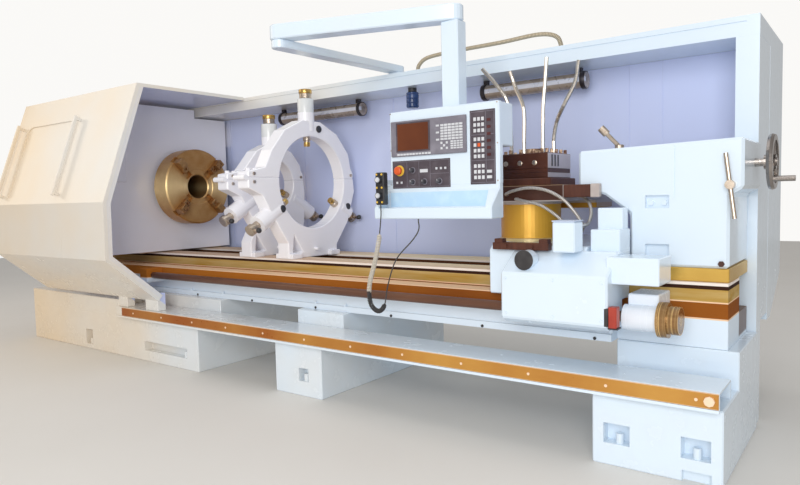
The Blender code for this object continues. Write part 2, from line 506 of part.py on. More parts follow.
def steady(name, x, ring_r, back_boss, front_boss):
    """Both halves and the quills of a rest with this bore radius; a boss length counts from the bore."""
    front, back = RING[0] - ring_r, RING[0] + ring_r
    split_angle = math.degrees(math.asin((SPLIT - RING[1]) / ring_r))
    hinge = (front - 0.2975, SPLIT + GAP / 2)
    bosses = ((-30, back_boss), (210, front_boss))
    ring_steps = 28
    lower_bore = arc(RING, ring_r, 180 - split_angle, 360 + split_angle, ring_steps)
    lower = plate(name + "_lower", [[(front - 0.2775, SPLIT), *lower_bore, (back + 0.1125, SPLIT),
                                     (back + 0.1225, SPLIT - 0.10),
                                     (max(back + 0.0375, 1.005), 1.03), (0.945, 0.86),
                                     (0.945, WAY_TOP + GAP), (0.44, WAY_TOP + GAP), (0.44, 0.90),
                                     (front - 0.0175, 1.02), (front - 0.0925, 1.13),
                                     (front - 0.1575, SPLIT - 0.12), (front - 0.2775, SPLIT - 0.07)],
                                    [(0.485, 0.83), (0.585, 0.83), (0.500, 0.955)]],
                  "x", (x - 0.055, x + 0.055), WHITE, 0.006)
    for number, (angle, length) in enumerate(bosses):
        a, b = spoke_point(angle, ring_r + 0.0325), spoke_point(angle, ring_r + length)
        join(lower, rod(f"{name}_boss_{number}", (x, *a), (x, *b), 0.064, steps=24))
        a, b = spoke_point(angle, ring_r - 0.0325), spoke_point(angle, ring_r + length + 0.125)
        cut(lower, rod(f"{name}_boss_hole_{number}", (x, *a), (x, *b), 0.0285, steps=20))
    for number, y in enumerate((0.50, 0.90)):
        join(lower, block(f"{name}_foot_{number}", (x - 0.085, x + 0.085), (y - 0.055, y + 0.045),
                          (WAY_TOP + 2 * GAP, 0.825), None, 0.004))
    join(lower, rod(f"{name}_clamp_bolt", (x + 0.05, 0.71, 0.845), (x + 0.085, 0.71, 0.845), 0.012, steps=8))
    for number, span in enumerate(((-0.055, -0.019), (0.019, 0.055))):
        left, right = x + span[0], x + span[1]
        join(lower, rod(f"{name}_knuckle_{number}", (left, *hinge), (right, *hinge), 0.018, steps=16),
             block(f"{name}_web_{number}", (left, right), (hinge[0], hinge[0] + 0.03),
                   (SPLIT - 0.016, SPLIT)))
    upper_bore = arc(RING, ring_r, 180 - split_angle - 0.05, split_angle + 0.05, ring_steps)
    top = SPLIT + GAP
    rim = arc(RING, ring_r + 0.12, 151, 29, 5)
    upper = plate(name + "_upper", [[(front - 0.2775, top), (front - 0.2775, SPLIT + 0.04),
                                     (front - 0.1275, SPLIT + 0.07), *rim, (back + 0.0875, SPLIT + 0.08),
                                     (back + 0.1125, SPLIT + 0.04), (back + 0.1125, top), *upper_bore[::-1]]],
                  "x", (x - 0.055, x + 0.055), WHITE, 0.006, at=(x, *hinge))
    join(upper, rod(f"{name}_middle_knuckle", (x - 0.017, *hinge), (x + 0.017, *hinge), 0.018, steps=16),
         block(f"{name}_middle_web", (x - 0.017, x + 0.017), (hinge[0], hinge[0] + 0.03),
               (top, SPLIT + 0.016)))
    crown = RING[1] + ring_r
    join(upper, rod(f"{name}_top_boss", (x, LINE_Y, crown + 0.0375), (x, LINE_Y, crown + 0.1725), 0.060))
    cut(upper, rod(f"{name}_top_hole", (x, LINE_Y, crown - 0.0625), (x, LINE_Y, crown + 0.2375), 0.0285,
                   steps=20))
    for number, y in enumerate((front - 0.2325, front - 0.1725)):
        join(upper, rod(f"{name}_block_bolt_{number}", (x, y, SPLIT + 0.035), (x, y, SPLIT + 0.065), 0.016,
                        steps=8))
    for number, (angle, length) in enumerate(((90, 0.2225), *bosses)):
        reach = ring_r + length + 0.085
        tip = ring_r - 0.0705
        profile = [(0, tip), (0.022, tip), (0.022, tip + 0.038), (0.028, tip + 0.042), (0.028, reach - 0.035)]
        if number == 0:
            profile += [(0.044, reach - 0.030), (0.044, reach + 0.032), (0, reach + 0.032)]
        else:
            profile += [(0.040, reach - 0.034), (0.040, reach - 0.002), (0.030, reach), (0, reach)]
        direction = (0, math.cos(math.radians(angle)), math.sin(math.radians(angle)))
        quill = turned(f"{name}_quill_{number + 1}", profile, (x, *RING), direction, STEEL, 20,
                       at=(x, *RING), metallic=1.0, roughness=0.3)
        side = Vector((1, 0, 0))
        knob_at = Vector((x, *spoke_point(angle, reach - 0.015)))
        if number:
            join(quill, rod(f"{name}_knob_{number}", knob_at, knob_at + side * 0.075, 0.012, steps=10))
    return lower


steady("steady_right", -2.904, 0.3325, 0.1425, 0.2425)
steady("steady_left", -3.30, 0.185, 0.275, 0.275)

# Swinging arm on the guard beam: two links, then the hanging post with the operator's console
BASE, ELBOW, POST = (-2.27, 0.985), (-2.32, -0.08), (-1.345, 0.24)


def link_plate(name, a, b, half, z, rgb=None, at=(0, 0, 0), **look):
    """A flat bar with round ends between two pivots."""
    turn = math.degrees(math.atan2(b[1] - a[1], b[0] - a[0]))
    outline = arc(a, half, turn + 90, turn + 270, 10) + arc(b, half, turn - 90, turn + 90, 10)
    return plate(name, [outline], "z", z, rgb, at=at, **look)


join(guard, rod("guard_arm_boss", (*BASE, GUARD_TOP - 0.01), (*BASE, 2.0745), 0.060, steps=24),
     rod("guard_arm_pin", (*BASE, 2.07), (*BASE, 2.118), 0.020, steps=24))
arm_low = link_plate("arm_lower_link", BASE, ELBOW, 0.048, (2.075, 2.122), WHITE, at=(*BASE, 2.075),
                     bevel=0.004)
cut(arm_low, rod("arm_base_hole", (*BASE, 2.0), (*BASE, 2.12), 0.0208, steps=24))
join(arm_low, rod("arm_elbow_pin", (*ELBOW, 2.11), (*ELBOW, 2.165), 0.018, steps=24))
arm_top = link_plate("arm_upper_link", ELBOW, POST, 0.055, (2.1223, 2.205), WHITE, at=(*ELBOW, 2.12),
                     bevel=0.006)
cut(arm_top, rod("arm_elbow_hole", (*ELBOW, 2.10), (*ELBOW, 2.17), 0.0188, steps=24))
cut(arm_top, rod("arm_post_hole", (*POST, 2.10), (*POST, 2.17), 0.0208, steps=24))
console = block("console_case", (-1.709, -1.030), (0.14, 0.185), (1.257, 1.671), WHITE, 0.008,
                at=(*POST, 1.4))
join(console,
     block("console_rear_box", (-1.705, -1.034), (0.15, 0.30), (1.45, 1.668), None, 0.006),
     block("hand_unit_hook", (-1.708, -1.694), (0.055, 0.145), (1.275, 1.300), None, 0.002),
     block("console_post", (POST[0] - 0.052, POST[0] + 0.052), (POST[1] - 0.045, POST[1] + 0.045),
           (1.66, 2.1218), None, 0.006),
     rod("console_pin", (*POST, 2.11), (*POST, 2.165), 0.020, steps=24),
     plate("console_shelf", [[(0.141, 1.275), (0.141, 1.240), (0.055, 1.150), (0.055, 1.088), (0.184, 1.088),
                              (0.184, 1.275)]], "x", (-1.764, -1.032), None, 0.006))
cut(console, plate("shelf_recess", [[(-1.735, 1.146), (-1.065, 1.146), (-1.090, 1.236), (-1.710, 1.236)]],
                   "y", (0.0, 0.138)))
block("screen_unit", (-1.690, -1.212), (0.126, 0.14 - GAP), (1.425, 1.616), (0.30, 0.29, 0.33), 0.003)
STOP = (-1.642, 0.14, 1.349)
cut(console, rod("stop_hole", (STOP[0], 0.130, STOP[2]), (STOP[0], 0.152, STOP[2]), 0.0136, steps=20))
turned("stop_button", [(0, -0.0003), (0.013, -0.0003), (0.013, -0.014), (0.023, -0.015), (0.023, -0.026),
                       (0.017, -0.031), (0, -0.031)],
       STOP, (0, 1, 0), (0.8, 0.12, 0.03), 24, at=STOP)
hand_unit = block("hand_pendant", (-1.718, -1.660), (0.012, 0.055 - GAP), (1.165, 1.340), (0.10, 0.09, 0.10),
                  0.006)
for number, z in enumerate((1.300, 1.215)):
    join(hand_unit, rod(f"pendant_dial_{number}", (-1.689, 0.02, z), (-1.689, -0.004, z), 0.019, steps=16))
CORD = [(-1.6886, 0.02, 1.1645), (-1.6886, 0.02, 1.11), (-1.6907, 0.01, 1.03), (-1.6928, 0, 0.97),
        (-1.7235, 0, 0.855), (-1.76, 0, 0.75), (-1.7695, 0, 0.673), (-1.752, 0, 0.6105), (-1.704, 0, 0.5865),
        (-1.663, 0, 0.625), (-1.637, 0, 0.734), (-1.585, 0.01, 0.872), (-1.504, 0.05, 0.975),
        (-1.480, 0.075, 1.030), (-1.480, 0.075, 1.0873)]
tube("pendant_cord", smooth(CORD, 70), 0.0052, (0.55, 0.50, 0.45), roughness=0.5,
     scale=[2.7 if 8 <= number <= 40 else 1 for number in range(70)])
CONDUIT = [(-2.13, 1.04, 2.0607), (-2.13, 1.04, 2.105), (-2.06, 1.06, 2.165), (-1.82, 1.09, 2.185),
           (-1.51, 1.10, 2.190), (-1.26, 1.11, 2.200), (-1.15, 1.13, 2.175), (-1.13, 1.16, 2.12),
           (-1.13, 1.16, 2.0607)]
tube("arm_conduit", smooth(CONDUIT, 46), 0.014, (0.55, 0.50, 0.42), metallic=0.5)

# Everything is moved once, so that the spindle line lies over y = 0 and the middle foot under x = 0
for item in (*PARTS.objects, *TOOLS.objects):
    item.location += MACHINE_SHIFT
bpy.context.view_layer.update()
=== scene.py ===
"""Looks of the flat-bed turning lathe: enamel, ground ways, console keys, braided hoses and the curly cord.

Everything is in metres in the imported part's frame: x towards the tailstock, y to the back, z up.
Places are measured on the machine from the right end of its rail, the rail's front face and the floor.
"""

import json
import math

import bmesh
import bpy
import numpy as np
from mathutils import Matrix

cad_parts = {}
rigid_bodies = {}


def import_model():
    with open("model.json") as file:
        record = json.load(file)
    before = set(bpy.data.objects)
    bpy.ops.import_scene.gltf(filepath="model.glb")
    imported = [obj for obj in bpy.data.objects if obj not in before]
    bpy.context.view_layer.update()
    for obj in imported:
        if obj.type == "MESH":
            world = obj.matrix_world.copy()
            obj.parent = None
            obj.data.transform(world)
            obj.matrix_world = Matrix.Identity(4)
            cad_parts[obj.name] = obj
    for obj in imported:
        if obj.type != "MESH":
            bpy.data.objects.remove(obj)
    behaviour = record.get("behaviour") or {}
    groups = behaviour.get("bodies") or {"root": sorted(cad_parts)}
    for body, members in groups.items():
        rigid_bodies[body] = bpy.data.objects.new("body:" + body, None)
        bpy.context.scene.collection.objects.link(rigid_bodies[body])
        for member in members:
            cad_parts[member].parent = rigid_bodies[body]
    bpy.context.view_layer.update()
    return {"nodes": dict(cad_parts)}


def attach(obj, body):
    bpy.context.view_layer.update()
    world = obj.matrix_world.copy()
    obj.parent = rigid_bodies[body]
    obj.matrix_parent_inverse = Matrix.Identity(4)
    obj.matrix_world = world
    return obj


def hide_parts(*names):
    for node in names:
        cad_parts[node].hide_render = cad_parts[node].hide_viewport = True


for old in list(bpy.data.objects):
    bpy.data.objects.remove(old)
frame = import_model()

# The rail's right end in the frame, and the height of the spindle line
RAIL_END = np.array([2.38, -0.71, 0.0])
LINE_Z = 1.338

# Steady rests: place along the bed, bore radius, lengths of the back and the front boss
STEADIES = {"steady_right": (-2.904, 0.3325, 0.1425, 0.2425), "steady_left": (-3.30, 0.185, 0.275, 0.275)}
RING_CENTRE = (0.71, 1.33)
TOP_BOSS = 0.2225
REST_SIDE = 0.055
HINGE_OUT = 0.2275

# Console: its screen unit's front, and the front and back of what stands on the panel
SCREEN_FACE = 0.126
PANEL_PLATE, PANEL_LINE = (0.1382, 0.1402), (0.1376, 0.1384)
PANEL_KEY, PANEL_LAMP = (0.1345, 0.1386), (0.1352, 0.1386)
SCREEN_KEY = (0.123, 0.1265)
STOP_PLACE = (-1.642, 1.349)

# Other places: the tool block's middle, the work lamps' line, the apron's round cap, the signal lamp's foot
TURRET_MIDDLE = (-1.085, 0.645)
LAMP_LINE = (1.12, 1.885)
CAP_X, CAP_Z = -0.868, 0.891
SIGNAL_PLACE = (-2.153, 1.0, 1.9597)

# The hand unit's cord: distance between the coil's turns, the coil's outer radius, the wire's radius
COIL_PITCH, COIL_RADIUS, CORD_RADIUS = 0.0085, 0.0140, 0.0034

# Colours
# The warm white is a painted orange reflection on the white enamel
COOL_WHITE, WARM_REFLECTION_WHITE = (0.73, 0.85, 0.97), (0.87, 0.69, 0.46)
DUST = (0.60, 0.50, 0.36)
LAVENDER, LAVENDER_DEEP = (0.62, 0.70, 0.98), (0.52, 0.58, 0.88)


class Amount:
    """A number that varies over a surface. Python's operators add its Math nodes."""

    def __init__(self, finish, socket):
        self.finish, self.socket = finish, socket

    def maths(self, operation, *values):
        """A Math node on these values."""
        made = self.finish.node("ShaderNodeMath", {"operation": operation}, dict(enumerate(values)))
        return Amount(self.finish, made.outputs[0])

    def __add__(self, other):
        return self.maths("ADD", self, other)

    def __sub__(self, other):
        return self.maths("SUBTRACT", self, other)

    def __rsub__(self, other):
        return self.maths("SUBTRACT", other, self)

    def __mul__(self, other):
        return self.maths("MULTIPLY", self, other)

    def __truediv__(self, other):
        return self.maths("DIVIDE", self, other)

    def __pow__(self, other):
        return self.maths("POWER", self, other)

    __radd__, __rmul__ = __add__, __mul__

    def wave(self):
        """The sine, for an angle in radians."""
        return self.maths("SINE", self)

    def most(self, other):
        """The larger of the two."""
        return self.maths("MAXIMUM", self, other)

    def least(self, other):
        """The smaller of the two."""
        return self.maths("MINIMUM", self, other)

    def step(self, low, high):
        """0 below low, 1 above high, and a straight ramp between them."""
        return ((self - low) / (high - low)).most(0.0).least(1.0)

    def band(self, low, high, soft=0.001):
        """1 between low and high, with soft edges of this width."""
        return self.step(low - soft, low) * (1 - self.step(high, high + soft))


class Finish:
    """One procedural finish: a Principled shader and the nodes that feed it, on Object coordinates."""

    def __init__(self, name, colour=(0.8, 0.8, 0.8), **sockets):
        self.material = bpy.data.materials.new(name)
        self.material.use_nodes = True
        self.tree = self.material.node_tree
        self.shader = self.tree.nodes["Principled BSDF"]
        self.shader.inputs["Base Color"].default_value = (*colour, 1)
        for socket, value in sockets.items():
            self.shader.inputs[socket.replace("_", " ")].default_value = value
        self.place = self.node("ShaderNodeTexCoord").outputs["Object"]
        parts = self.node("ShaderNodeSeparateXYZ", inputs={0: self.place})
        self.x, self.y, self.z = (Amount(self, socket) for socket in parts.outputs)

    def node(self, kind, settings=None, inputs=None):
        """Any node: its settings first, then the values or links of its sockets."""
        made = self.tree.nodes.new(kind)
        for key, value in (settings or {}).items():
            setattr(made, key, value)
        for key, value in (inputs or {}).items():
            self.feed(made.inputs[key], value)
        return made

    def feed(self, socket, value):
        """Links or sets a socket, which is given by itself or by its name on the shader."""
        if isinstance(socket, str):
            socket = self.shader.inputs[socket]
        if isinstance(value, Amount):
            value = value.socket
        if isinstance(value, bpy.types.NodeSocket):
            self.tree.links.new(value, socket)
        elif socket.type == "RGBA":
            socket.default_value = (*value, 1)
        else:
            socket.default_value = value

    def noise(self, scale, detail=2.0, stretch=(1, 1, 1), place=None):
        """Cloudy noise of a place, scaled along each axis by stretch."""
        spread = self.node("ShaderNodeMapping", inputs={"Vector": place or self.place, "Scale": stretch})
        made = self.node("ShaderNodeTexNoise", inputs={
            "Vector": spread.outputs[0], "Scale": scale, "Detail": detail})
        return Amount(self, made.outputs["Fac"])

    def rings(self, radius, along, scale, detail):
        """Noise of the distance from an axis and of the place along it, as turning leaves it."""
        place = self.node("ShaderNodeCombineXYZ", inputs={0: radius, 1: along})
        return self.noise(scale, detail, place=place.outputs[0])

    def on_tube(self):
        """The part of a turn round a tube and the length along it, from the tube's own UV map."""
        flat = self.node("ShaderNodeUVMap", {"uv_map": "along"}).outputs[0]
        parts = self.node("ShaderNodeSeparateXYZ", inputs={0: flat})
        return Amount(self, parts.outputs[0]), Amount(self, parts.outputs[1])

    def mix(self, factor, a, b):
        """Colour a where the factor is 0, and b where it is 1."""
        return self.node("ShaderNodeMix", {"data_type": "RGBA"}, {0: factor, 6: a, 7: b}).outputs[2]

    def bump(self, height, distance, strength=1.0):
        """Relief from a height, this distance deep where the height is 1."""
        made = self.node("ShaderNodeBump", inputs={
            "Height": height, "Distance": distance, "Strength": strength})
        self.feed("Normal", made.outputs[0])


def enamel(name, pale, deep, warm_reflection_by_x=0.0, inside=None):
    """Gloss enamel: cloudy tone between two colours, turning warm towards lower x as a painted orange
    reflection, dust towards the floor and a fine orange peel.
    """
    paint = Finish(name, Roughness=0.25, Coat_Roughness=0.08)
    cloud = paint.noise(1.1, 3)
    # Towards lower x the tone turns warm: a painted orange reflection
    tone = (cloud * 0.9 - 0.36 - paint.x * warm_reflection_by_x).step(0.0, 1.0)
    grime = paint.noise(7, 6).step(0.45, 0.8) * (0.75 - paint.z * 0.5).step(0.0, 0.8)
    colour = paint.mix(grime * 0.12, paint.mix(tone, pale, deep), DUST)
    if inside:
        colour = paint.mix(inside(paint), colour, paint.mix(cloud, LAVENDER_DEEP, LAVENDER))
    paint.feed("Base Color", colour)
    paint.feed("Roughness", paint.noise(24, 3) * 0.10 + grime * 0.12 + 0.18)
    paint.feed("Coat Weight", 0.45 - grime * 0.2)
    paint.bump(paint.noise(330, 2), 0.0001, 0.3)
    return paint


def behind_door(paint):
    """1 on the door's inner side, 0 outside and on its rim.

    How far a place lies behind a plane of the sheet is its distance from a point on the plane along the
    plane's normal; the smallest of the four tells how deep in the sheet it is."""
    low = (paint.y + 0.69) * 0.649 + (paint.z - 0.478) * 0.761
    upright = paint.y + 1.083
    fold = (paint.y + 1.08) * 0.942 - (paint.z - 1.22) * 0.334
    rim = paint.x.step(-1.4212, -1.4204)
    return low.least(upright).least(fold).least(2.066 - paint.z).step(0.012, 0.016) * (1 - rim)


def ground_metal(name, bright, dark, stretch, roughness=0.22, lines=90, metallic=1.0, contrast=0.9):
    """Ground and oiled metal: fine lines along the grinding direction, oil clouds that darken it."""
    metal = Finish(name, Metallic=metallic)
    grain = metal.noise(lines, 3, stretch)
    oil = metal.noise(2.4, 4)
    tone = ((grain - 0.5) * contrast + oil * 1.1 - 0.1).step(0.0, 1.0)
    metal.feed("Base Color", metal.mix(tone, dark, bright))
    metal.feed("Roughness", grain * 0.16 + oil * 0.12 + (roughness - 0.12))
    metal.bump(grain, 0.0002, 0.25)
    return metal


def turned_metal(name, bright, dark, centre, axis, roughness=0.24, metallic=1.0):
    """Lathe-turned metal: fine rings about an axis, as noise of the distance from it."""
    metal = Finish(name, Metallic=metallic)
    a, b = [(metal.x, metal.y, metal.z)[n] - centre[n] for n in range(3) if n != axis]
    grain = metal.rings((a * a + b * b) ** 0.5, (metal.x, metal.y, metal.z)[axis], 260, 3)
    oil = metal.noise(5, 4)
    metal.feed("Base Color", metal.mix((grain * 0.8 + oil * 1.2 - 0.5).step(0.0, 1.0), dark, bright))
    metal.feed("Roughness", grain * 0.2 + (roughness - 0.08))
    metal.bump(grain, 0.0004, 0.5)
    return metal


def bed_finish():
    """The bed by height: enamel casting, and ground ways in painted tones of orange reflection: brown front
    way, olive side, amber to gold top.

    Each row of the tones is the height from the floor at which it starts. The edge and lip rows are painted
    highlights, the groove row is a painted shadow line under the lip, and the inner channel is painted dark
    brown."""
    bed = Finish("bed_ground_and_painted", Specular_IOR_Level=0.01)
    grain, oil = bed.noise(60, 3, (0.04, 1, 1)), bed.noise(1.7, 5)
    sheen_streak = bed.noise(9, 4, (0.25, 1, 3))
    depth, right = bed.y.step(-0.22, 0.02), bed.x.step(-1.3, 0.9)
    # The top's amber-to-gold is a painted orange reflection, paler to the back, to the right and in streaks
    # of painted sheen
    pale = (depth * 0.55 + right * 0.75 + sheen_streak * 0.8 - 0.75).step(0.0, 1.0)
    top = bed.mix(pale, (0.58, 0.25, 0.015), (1.0, 0.80, 0.32))
    # A painted highlight along the front edge of the top
    top = bed.mix((1 - bed.y.step(-0.246, -0.240)) * 0.9, top, (0.95, 0.84, 0.72))
    face = bed.mix((right * 0.6 + oil * 0.6 - 0.2).step(0.0, 1.0), (0.50, 0.17, 0.025), (0.17, 0.045, 0.012))
    side = bed.mix((sheen_streak * 1.8 - 0.5).step(0.0, 1.0), (0.44, 0.25, 0.035), (0.62, 0.48, 0.24))
    # edge and lip are painted highlights along the ways' edges
    edge, groove, lip = (0.90, 0.62, 0.40), (0.045, 0.02, 0.014), (0.90, 0.82, 0.76)
    colour = bed.mix(oil * 0.4, COOL_WHITE, (0.82, 0.84, 0.88))
    # The groove row is a painted shadow line under the lip
    for start, tone in ((0.6195, edge), (0.6265, face), (0.6955, edge), (0.7015, side), (0.757, groove),
                        (0.774, lip), (0.7865, top)):
        colour = bed.mix(bed.z.step(start, start + 0.001), colour, tone)
    # The inner channel, its walls too, is painted dark brown
    channel = bed.z.step(0.50, 0.51) * (1 - bed.z.step(0.770, 0.776)) * bed.y.step(-0.06, -0.045)
    colour = bed.mix(channel * 0.8, colour, (0.12, 0.05, 0.025))
    way = bed.z.step(0.622, 0.626)
    bed.feed("Base Color", colour)
    bed.feed("Metallic", way * grain * 0.03)
    bed.feed("Roughness", way * (grain * 0.16 + 0.20) + oil * 0.1 + 0.24)
    bed.bump(grain * way, 0.0001, 0.2)
    return bed


def strip_finish():
    """The rail strip: ground steel painted brown-orange as the orange floor's reflection, in broad cloudy
    tones, with painted highlights along both edges and on its screw heads, which stand in front of it."""
    strip = Finish("rail_strip_painted_reflection", Specular_IOR_Level=0.3, Metallic=0.2)
    cloud = strip.noise(1.3, 4, (1, 1, 0.2))
    fine = strip.noise(80, 2, (0.3, 1, 1))
    # Painted orange-floor reflection in cloudy tones, paler towards higher x
    tone = (cloud * 2.0 + fine * 0.12 + strip.x * 0.10 - 0.72).step(0.0, 1.0)
    # Painted highlights along both edges
    edge = 1 - strip.z.band(0.3385, 0.3965, 0.0008)
    ground = strip.mix(tone, (0.36, 0.10, 0.012), (0.66, 0.36, 0.08))
    colour = strip.mix(edge * 0.8, ground, (0.86, 0.62, 0.42))
    # Painted highlights on the screw heads in front of the strip
    heads = 1 - strip.y.step(-0.7205, -0.7192)
    strip.feed("Base Color", strip.mix(heads, colour, (0.95, 0.74, 0.54)))
    strip.feed("Roughness", fine * 0.1 + cloud * 0.1 + 0.2)
    return strip


def bearing_finish():
    """The screw's end bearing: enamel housing, and gold-brown turned rings beyond it."""
    part = Finish("bearing_painted_and_turned")
    ring = part.x.step(2.099, 2.100)
    a, b = part.y + 0.52, part.z - 0.64
    grain = part.rings((a * a + b * b) ** 0.5, part.x, 150, 2)
    gold = part.mix((grain * 2.2 - 0.7).step(0.0, 1.0), (0.16, 0.06, 0.02), (0.72, 0.48, 0.20))
    part.feed("Base Color", part.mix(ring, part.mix(part.noise(2, 3), COOL_WHITE, (0.84, 0.86, 0.92)), gold))
    part.feed("Metallic", ring * 0.5)
    part.feed("Roughness", grain * 0.2 + 0.15)
    return part


def chuck_finish():
    """The faced chuck: fine rings, two bright fans where the facing catches the light, and painted shade in
    the bore.

    A fan is the squared cosine of the angle from the level, to the seventh power."""
    metal = Finish("chuck_faced", Metallic=0.55)
    a, b = metal.y, metal.z - LINE_Z
    square = a * a + b * b
    grain = metal.rings(square ** 0.5, metal.x, 260, 3)
    fan = (a * a / (square + 0.0001)) ** 7
    worn = metal.noise(9, 4)
    tone = (fan * 0.8 + grain * 0.2 + worn * 0.6 - 0.25).step(0.0, 1.0)
    colour = metal.mix(tone, (0.42, 0.19, 0.045), (1.0, 0.75, 0.36))
    # Near the axis the bore is painted near-black: painted shade inside it
    metal.feed("Base Color", metal.mix(1 - square.step(0.009, 0.0105), colour, (0.05, 0.02, 0.012)))
    metal.feed("Roughness", grain * 0.2 + 0.26)
    metal.bump(grain, 0.0003, 0.3)
    return metal


def drum_finish():
    """The cross guide by place: amber drum with a grey rim, dark oiled rail above it, grey right end.

    The drum is lighter to one side, by the distance from its axis across the light."""
    metal = Finish("drum_and_rail", Metallic=0.3)
    axis_x, axis_ahead = 1.295, 0.10
    a, b = metal.x - axis_x, metal.y + axis_ahead
    radius = (a * a + b * b) ** 0.5
    lines = metal.noise(140, 2, (0.1, 0.1, 1))
    oil = metal.noise(3, 4)
    light = (a * 2 - b * 1.5 + 0.35).step(0.0, 1.0)
    tone = (light + oil * 0.3 + lines * 0.06 - 0.15).step(0.0, 1.0)
    amber = metal.mix(tone, (0.42, 0.16, 0.015), (0.80, 0.46, 0.05))
    rim = metal.mix(oil, (0.40, 0.34, 0.32), (0.62, 0.58, 0.56))
    rail = metal.mix((oil * 1.4 - 0.4).step(0.0, 1.0), (0.035, 0.011, 0.008), (0.13, 0.05, 0.028))
    colour = metal.mix(metal.z.step(1.148, 1.151), amber, rim)
    colour = metal.mix(metal.z.step(1.1705, 1.1715), colour, rail)
    colour = metal.mix(metal.x.step(1.5775, 1.5785), colour, (0.52, 0.46, 0.44))
    colour = metal.mix(metal.z.step(1.2475, 1.2485), colour, (0.50, 0.32, 0.16))
    metal.feed("Base Color", metal.mix(1 - metal.z.step(0.967, 0.969), colour, (0.62, 0.50, 0.26)))
    metal.feed("Roughness", lines * 0.04 + oil * 0.1 + radius * 0.02 + 0.26)
    return metal


def turret_finish():
    """The tool block: dark oiled steel, a paler right side, and bolt heads that end in worn brass tops."""
    metal = Finish("tool_block_oiled", Metallic=0.25)
    oil = metal.noise(6, 4)
    layers = metal.noise(70, 2, (0.05, 0.05, 1))
    wear = (oil * 1.2 + layers * 0.4 - 0.5).step(0.0, 1.0)
    dark = metal.mix(wear, (0.035, 0.010, 0.006), (0.15, 0.045, 0.022))
    pale = metal.mix(oil, (0.44, 0.40, 0.42), (0.62, 0.60, 0.66))
    colour = metal.mix(metal.x.step(1.4505, 1.4515), dark, pale)
    tops = metal.z.step(1.4265, 1.4275)
    worn = (metal.noise(60, 2) * 2.4 - 0.8).step(0.0, 1.0)
    brass = metal.mix(worn, (0.10, 0.03, 0.015), (0.90, 0.66, 0.44))
    metal.feed("Base Color", metal.mix(tops, colour, brass))
    metal.feed("Roughness", oil * 0.2 + 0.24)
    metal.bump(layers, 0.0002, 0.3)
    return metal


def moulded(name, colour, lighter, roughness=0.45, **sockets):
    """Moulded plastic or rubber: fine pebble grain and faint worn, lighter patches."""
    plastic = Finish(name, **sockets)
    patches = plastic.noise(14, 4)
    plastic.feed("Base Color", plastic.mix(patches.step(0.45, 0.8), colour, lighter))
    plastic.feed("Roughness", patches * 0.2 + (roughness - 0.1))
    plastic.bump(plastic.noise(700, 2), 0.00015, 0.4)
    return plastic


def screen_glass():
    """The dark screen: deep brown glass, a little lighter to its left, with a thin smear."""
    glass = Finish("screen_glass", Roughness=0.08)
    haze = (glass.noise(9, 3) * 0.8 - (glass.x - 0.84) * 2.5).step(0.0, 1.0)
    glass.feed("Base Color", glass.mix(haze, (0.095, 0.020, 0.003), (0.16, 0.036, 0.005)))
    glass.feed("Roughness", haze * 0.1 + 0.30)
    return glass


def lamp_finish():
    """Work lamp: grey-brown housing with a pale glass strip along its front, and black rims at its ends."""
    lamp = Finish("lamp_housing", Metallic=0.3)
    a, b = lamp.y - (LAMP_LINE[0] + RAIL_END[1]), lamp.z - LAMP_LINE[1]
    cloud = lamp.noise(12, 3)
    strip = b.band(-0.012, 0.014, 0.002) * (1 - a.step(-0.02, -0.015))
    body = lamp.mix(cloud, (0.24, 0.19, 0.15), (0.46, 0.40, 0.36))
    colour = lamp.mix(strip, body, lamp.mix(cloud, (0.56, 0.58, 0.68), (0.80, 0.82, 0.88)))
    rim = ((a * a + b * b) ** 0.5).step(0.0465, 0.0475)
    lamp.feed("Base Color", lamp.mix(rim, colour, (0.03, 0.025, 0.03)))
    lamp.feed("Roughness", cloud * 0.2 + 0.18)
    return lamp


def braid(name, bright, dark, pitch):
    """Braided hose: two opposite helices of wire, as waves of the hose's own length and turn."""
    hose = Finish(name, Metallic=0.85)
    turn, along = hose.on_tube()
    wires = 8 * math.tau
    one = (turn * wires + along * (math.tau / pitch)).wave()
    two = (turn * wires - along * (math.tau / pitch)).wave()
    weave = one * two * 0.5 + 0.5
    hose.feed("Base Color", hose.mix(weave, dark, bright))
    hose.feed("Roughness", weave * 0.15 + 0.25)
    hose.bump(weave, 0.0012, 0.6)
    return hose


WHITE = enamel("white_enamel", COOL_WHITE, WARM_REFLECTION_WHITE, 0.24)
DOOR = enamel("door_enamel", COOL_WHITE, WARM_REFLECTION_WHITE, 0.24, inside=behind_door)
INNER = enamel("lavender_enamel", LAVENDER, LAVENDER_DEEP)
BED = bed_finish()
STRIP, BEARING = strip_finish(), bearing_finish()
SCREW = ground_metal("ball_screw_oiled", (0.20, 0.09, 0.05), (0.09, 0.035, 0.02), (0.3, 1, 1), 0.34,
                     metallic=0.2, contrast=0.2)
# The wall's lavender is painted paler than the splash panel's: painted light on a wall that stands in shade
WALL_PAINTED_LIGHT = enamel("wall_enamel_painted_light", (0.93, 0.94, 1.0), (0.84, 0.85, 0.98))
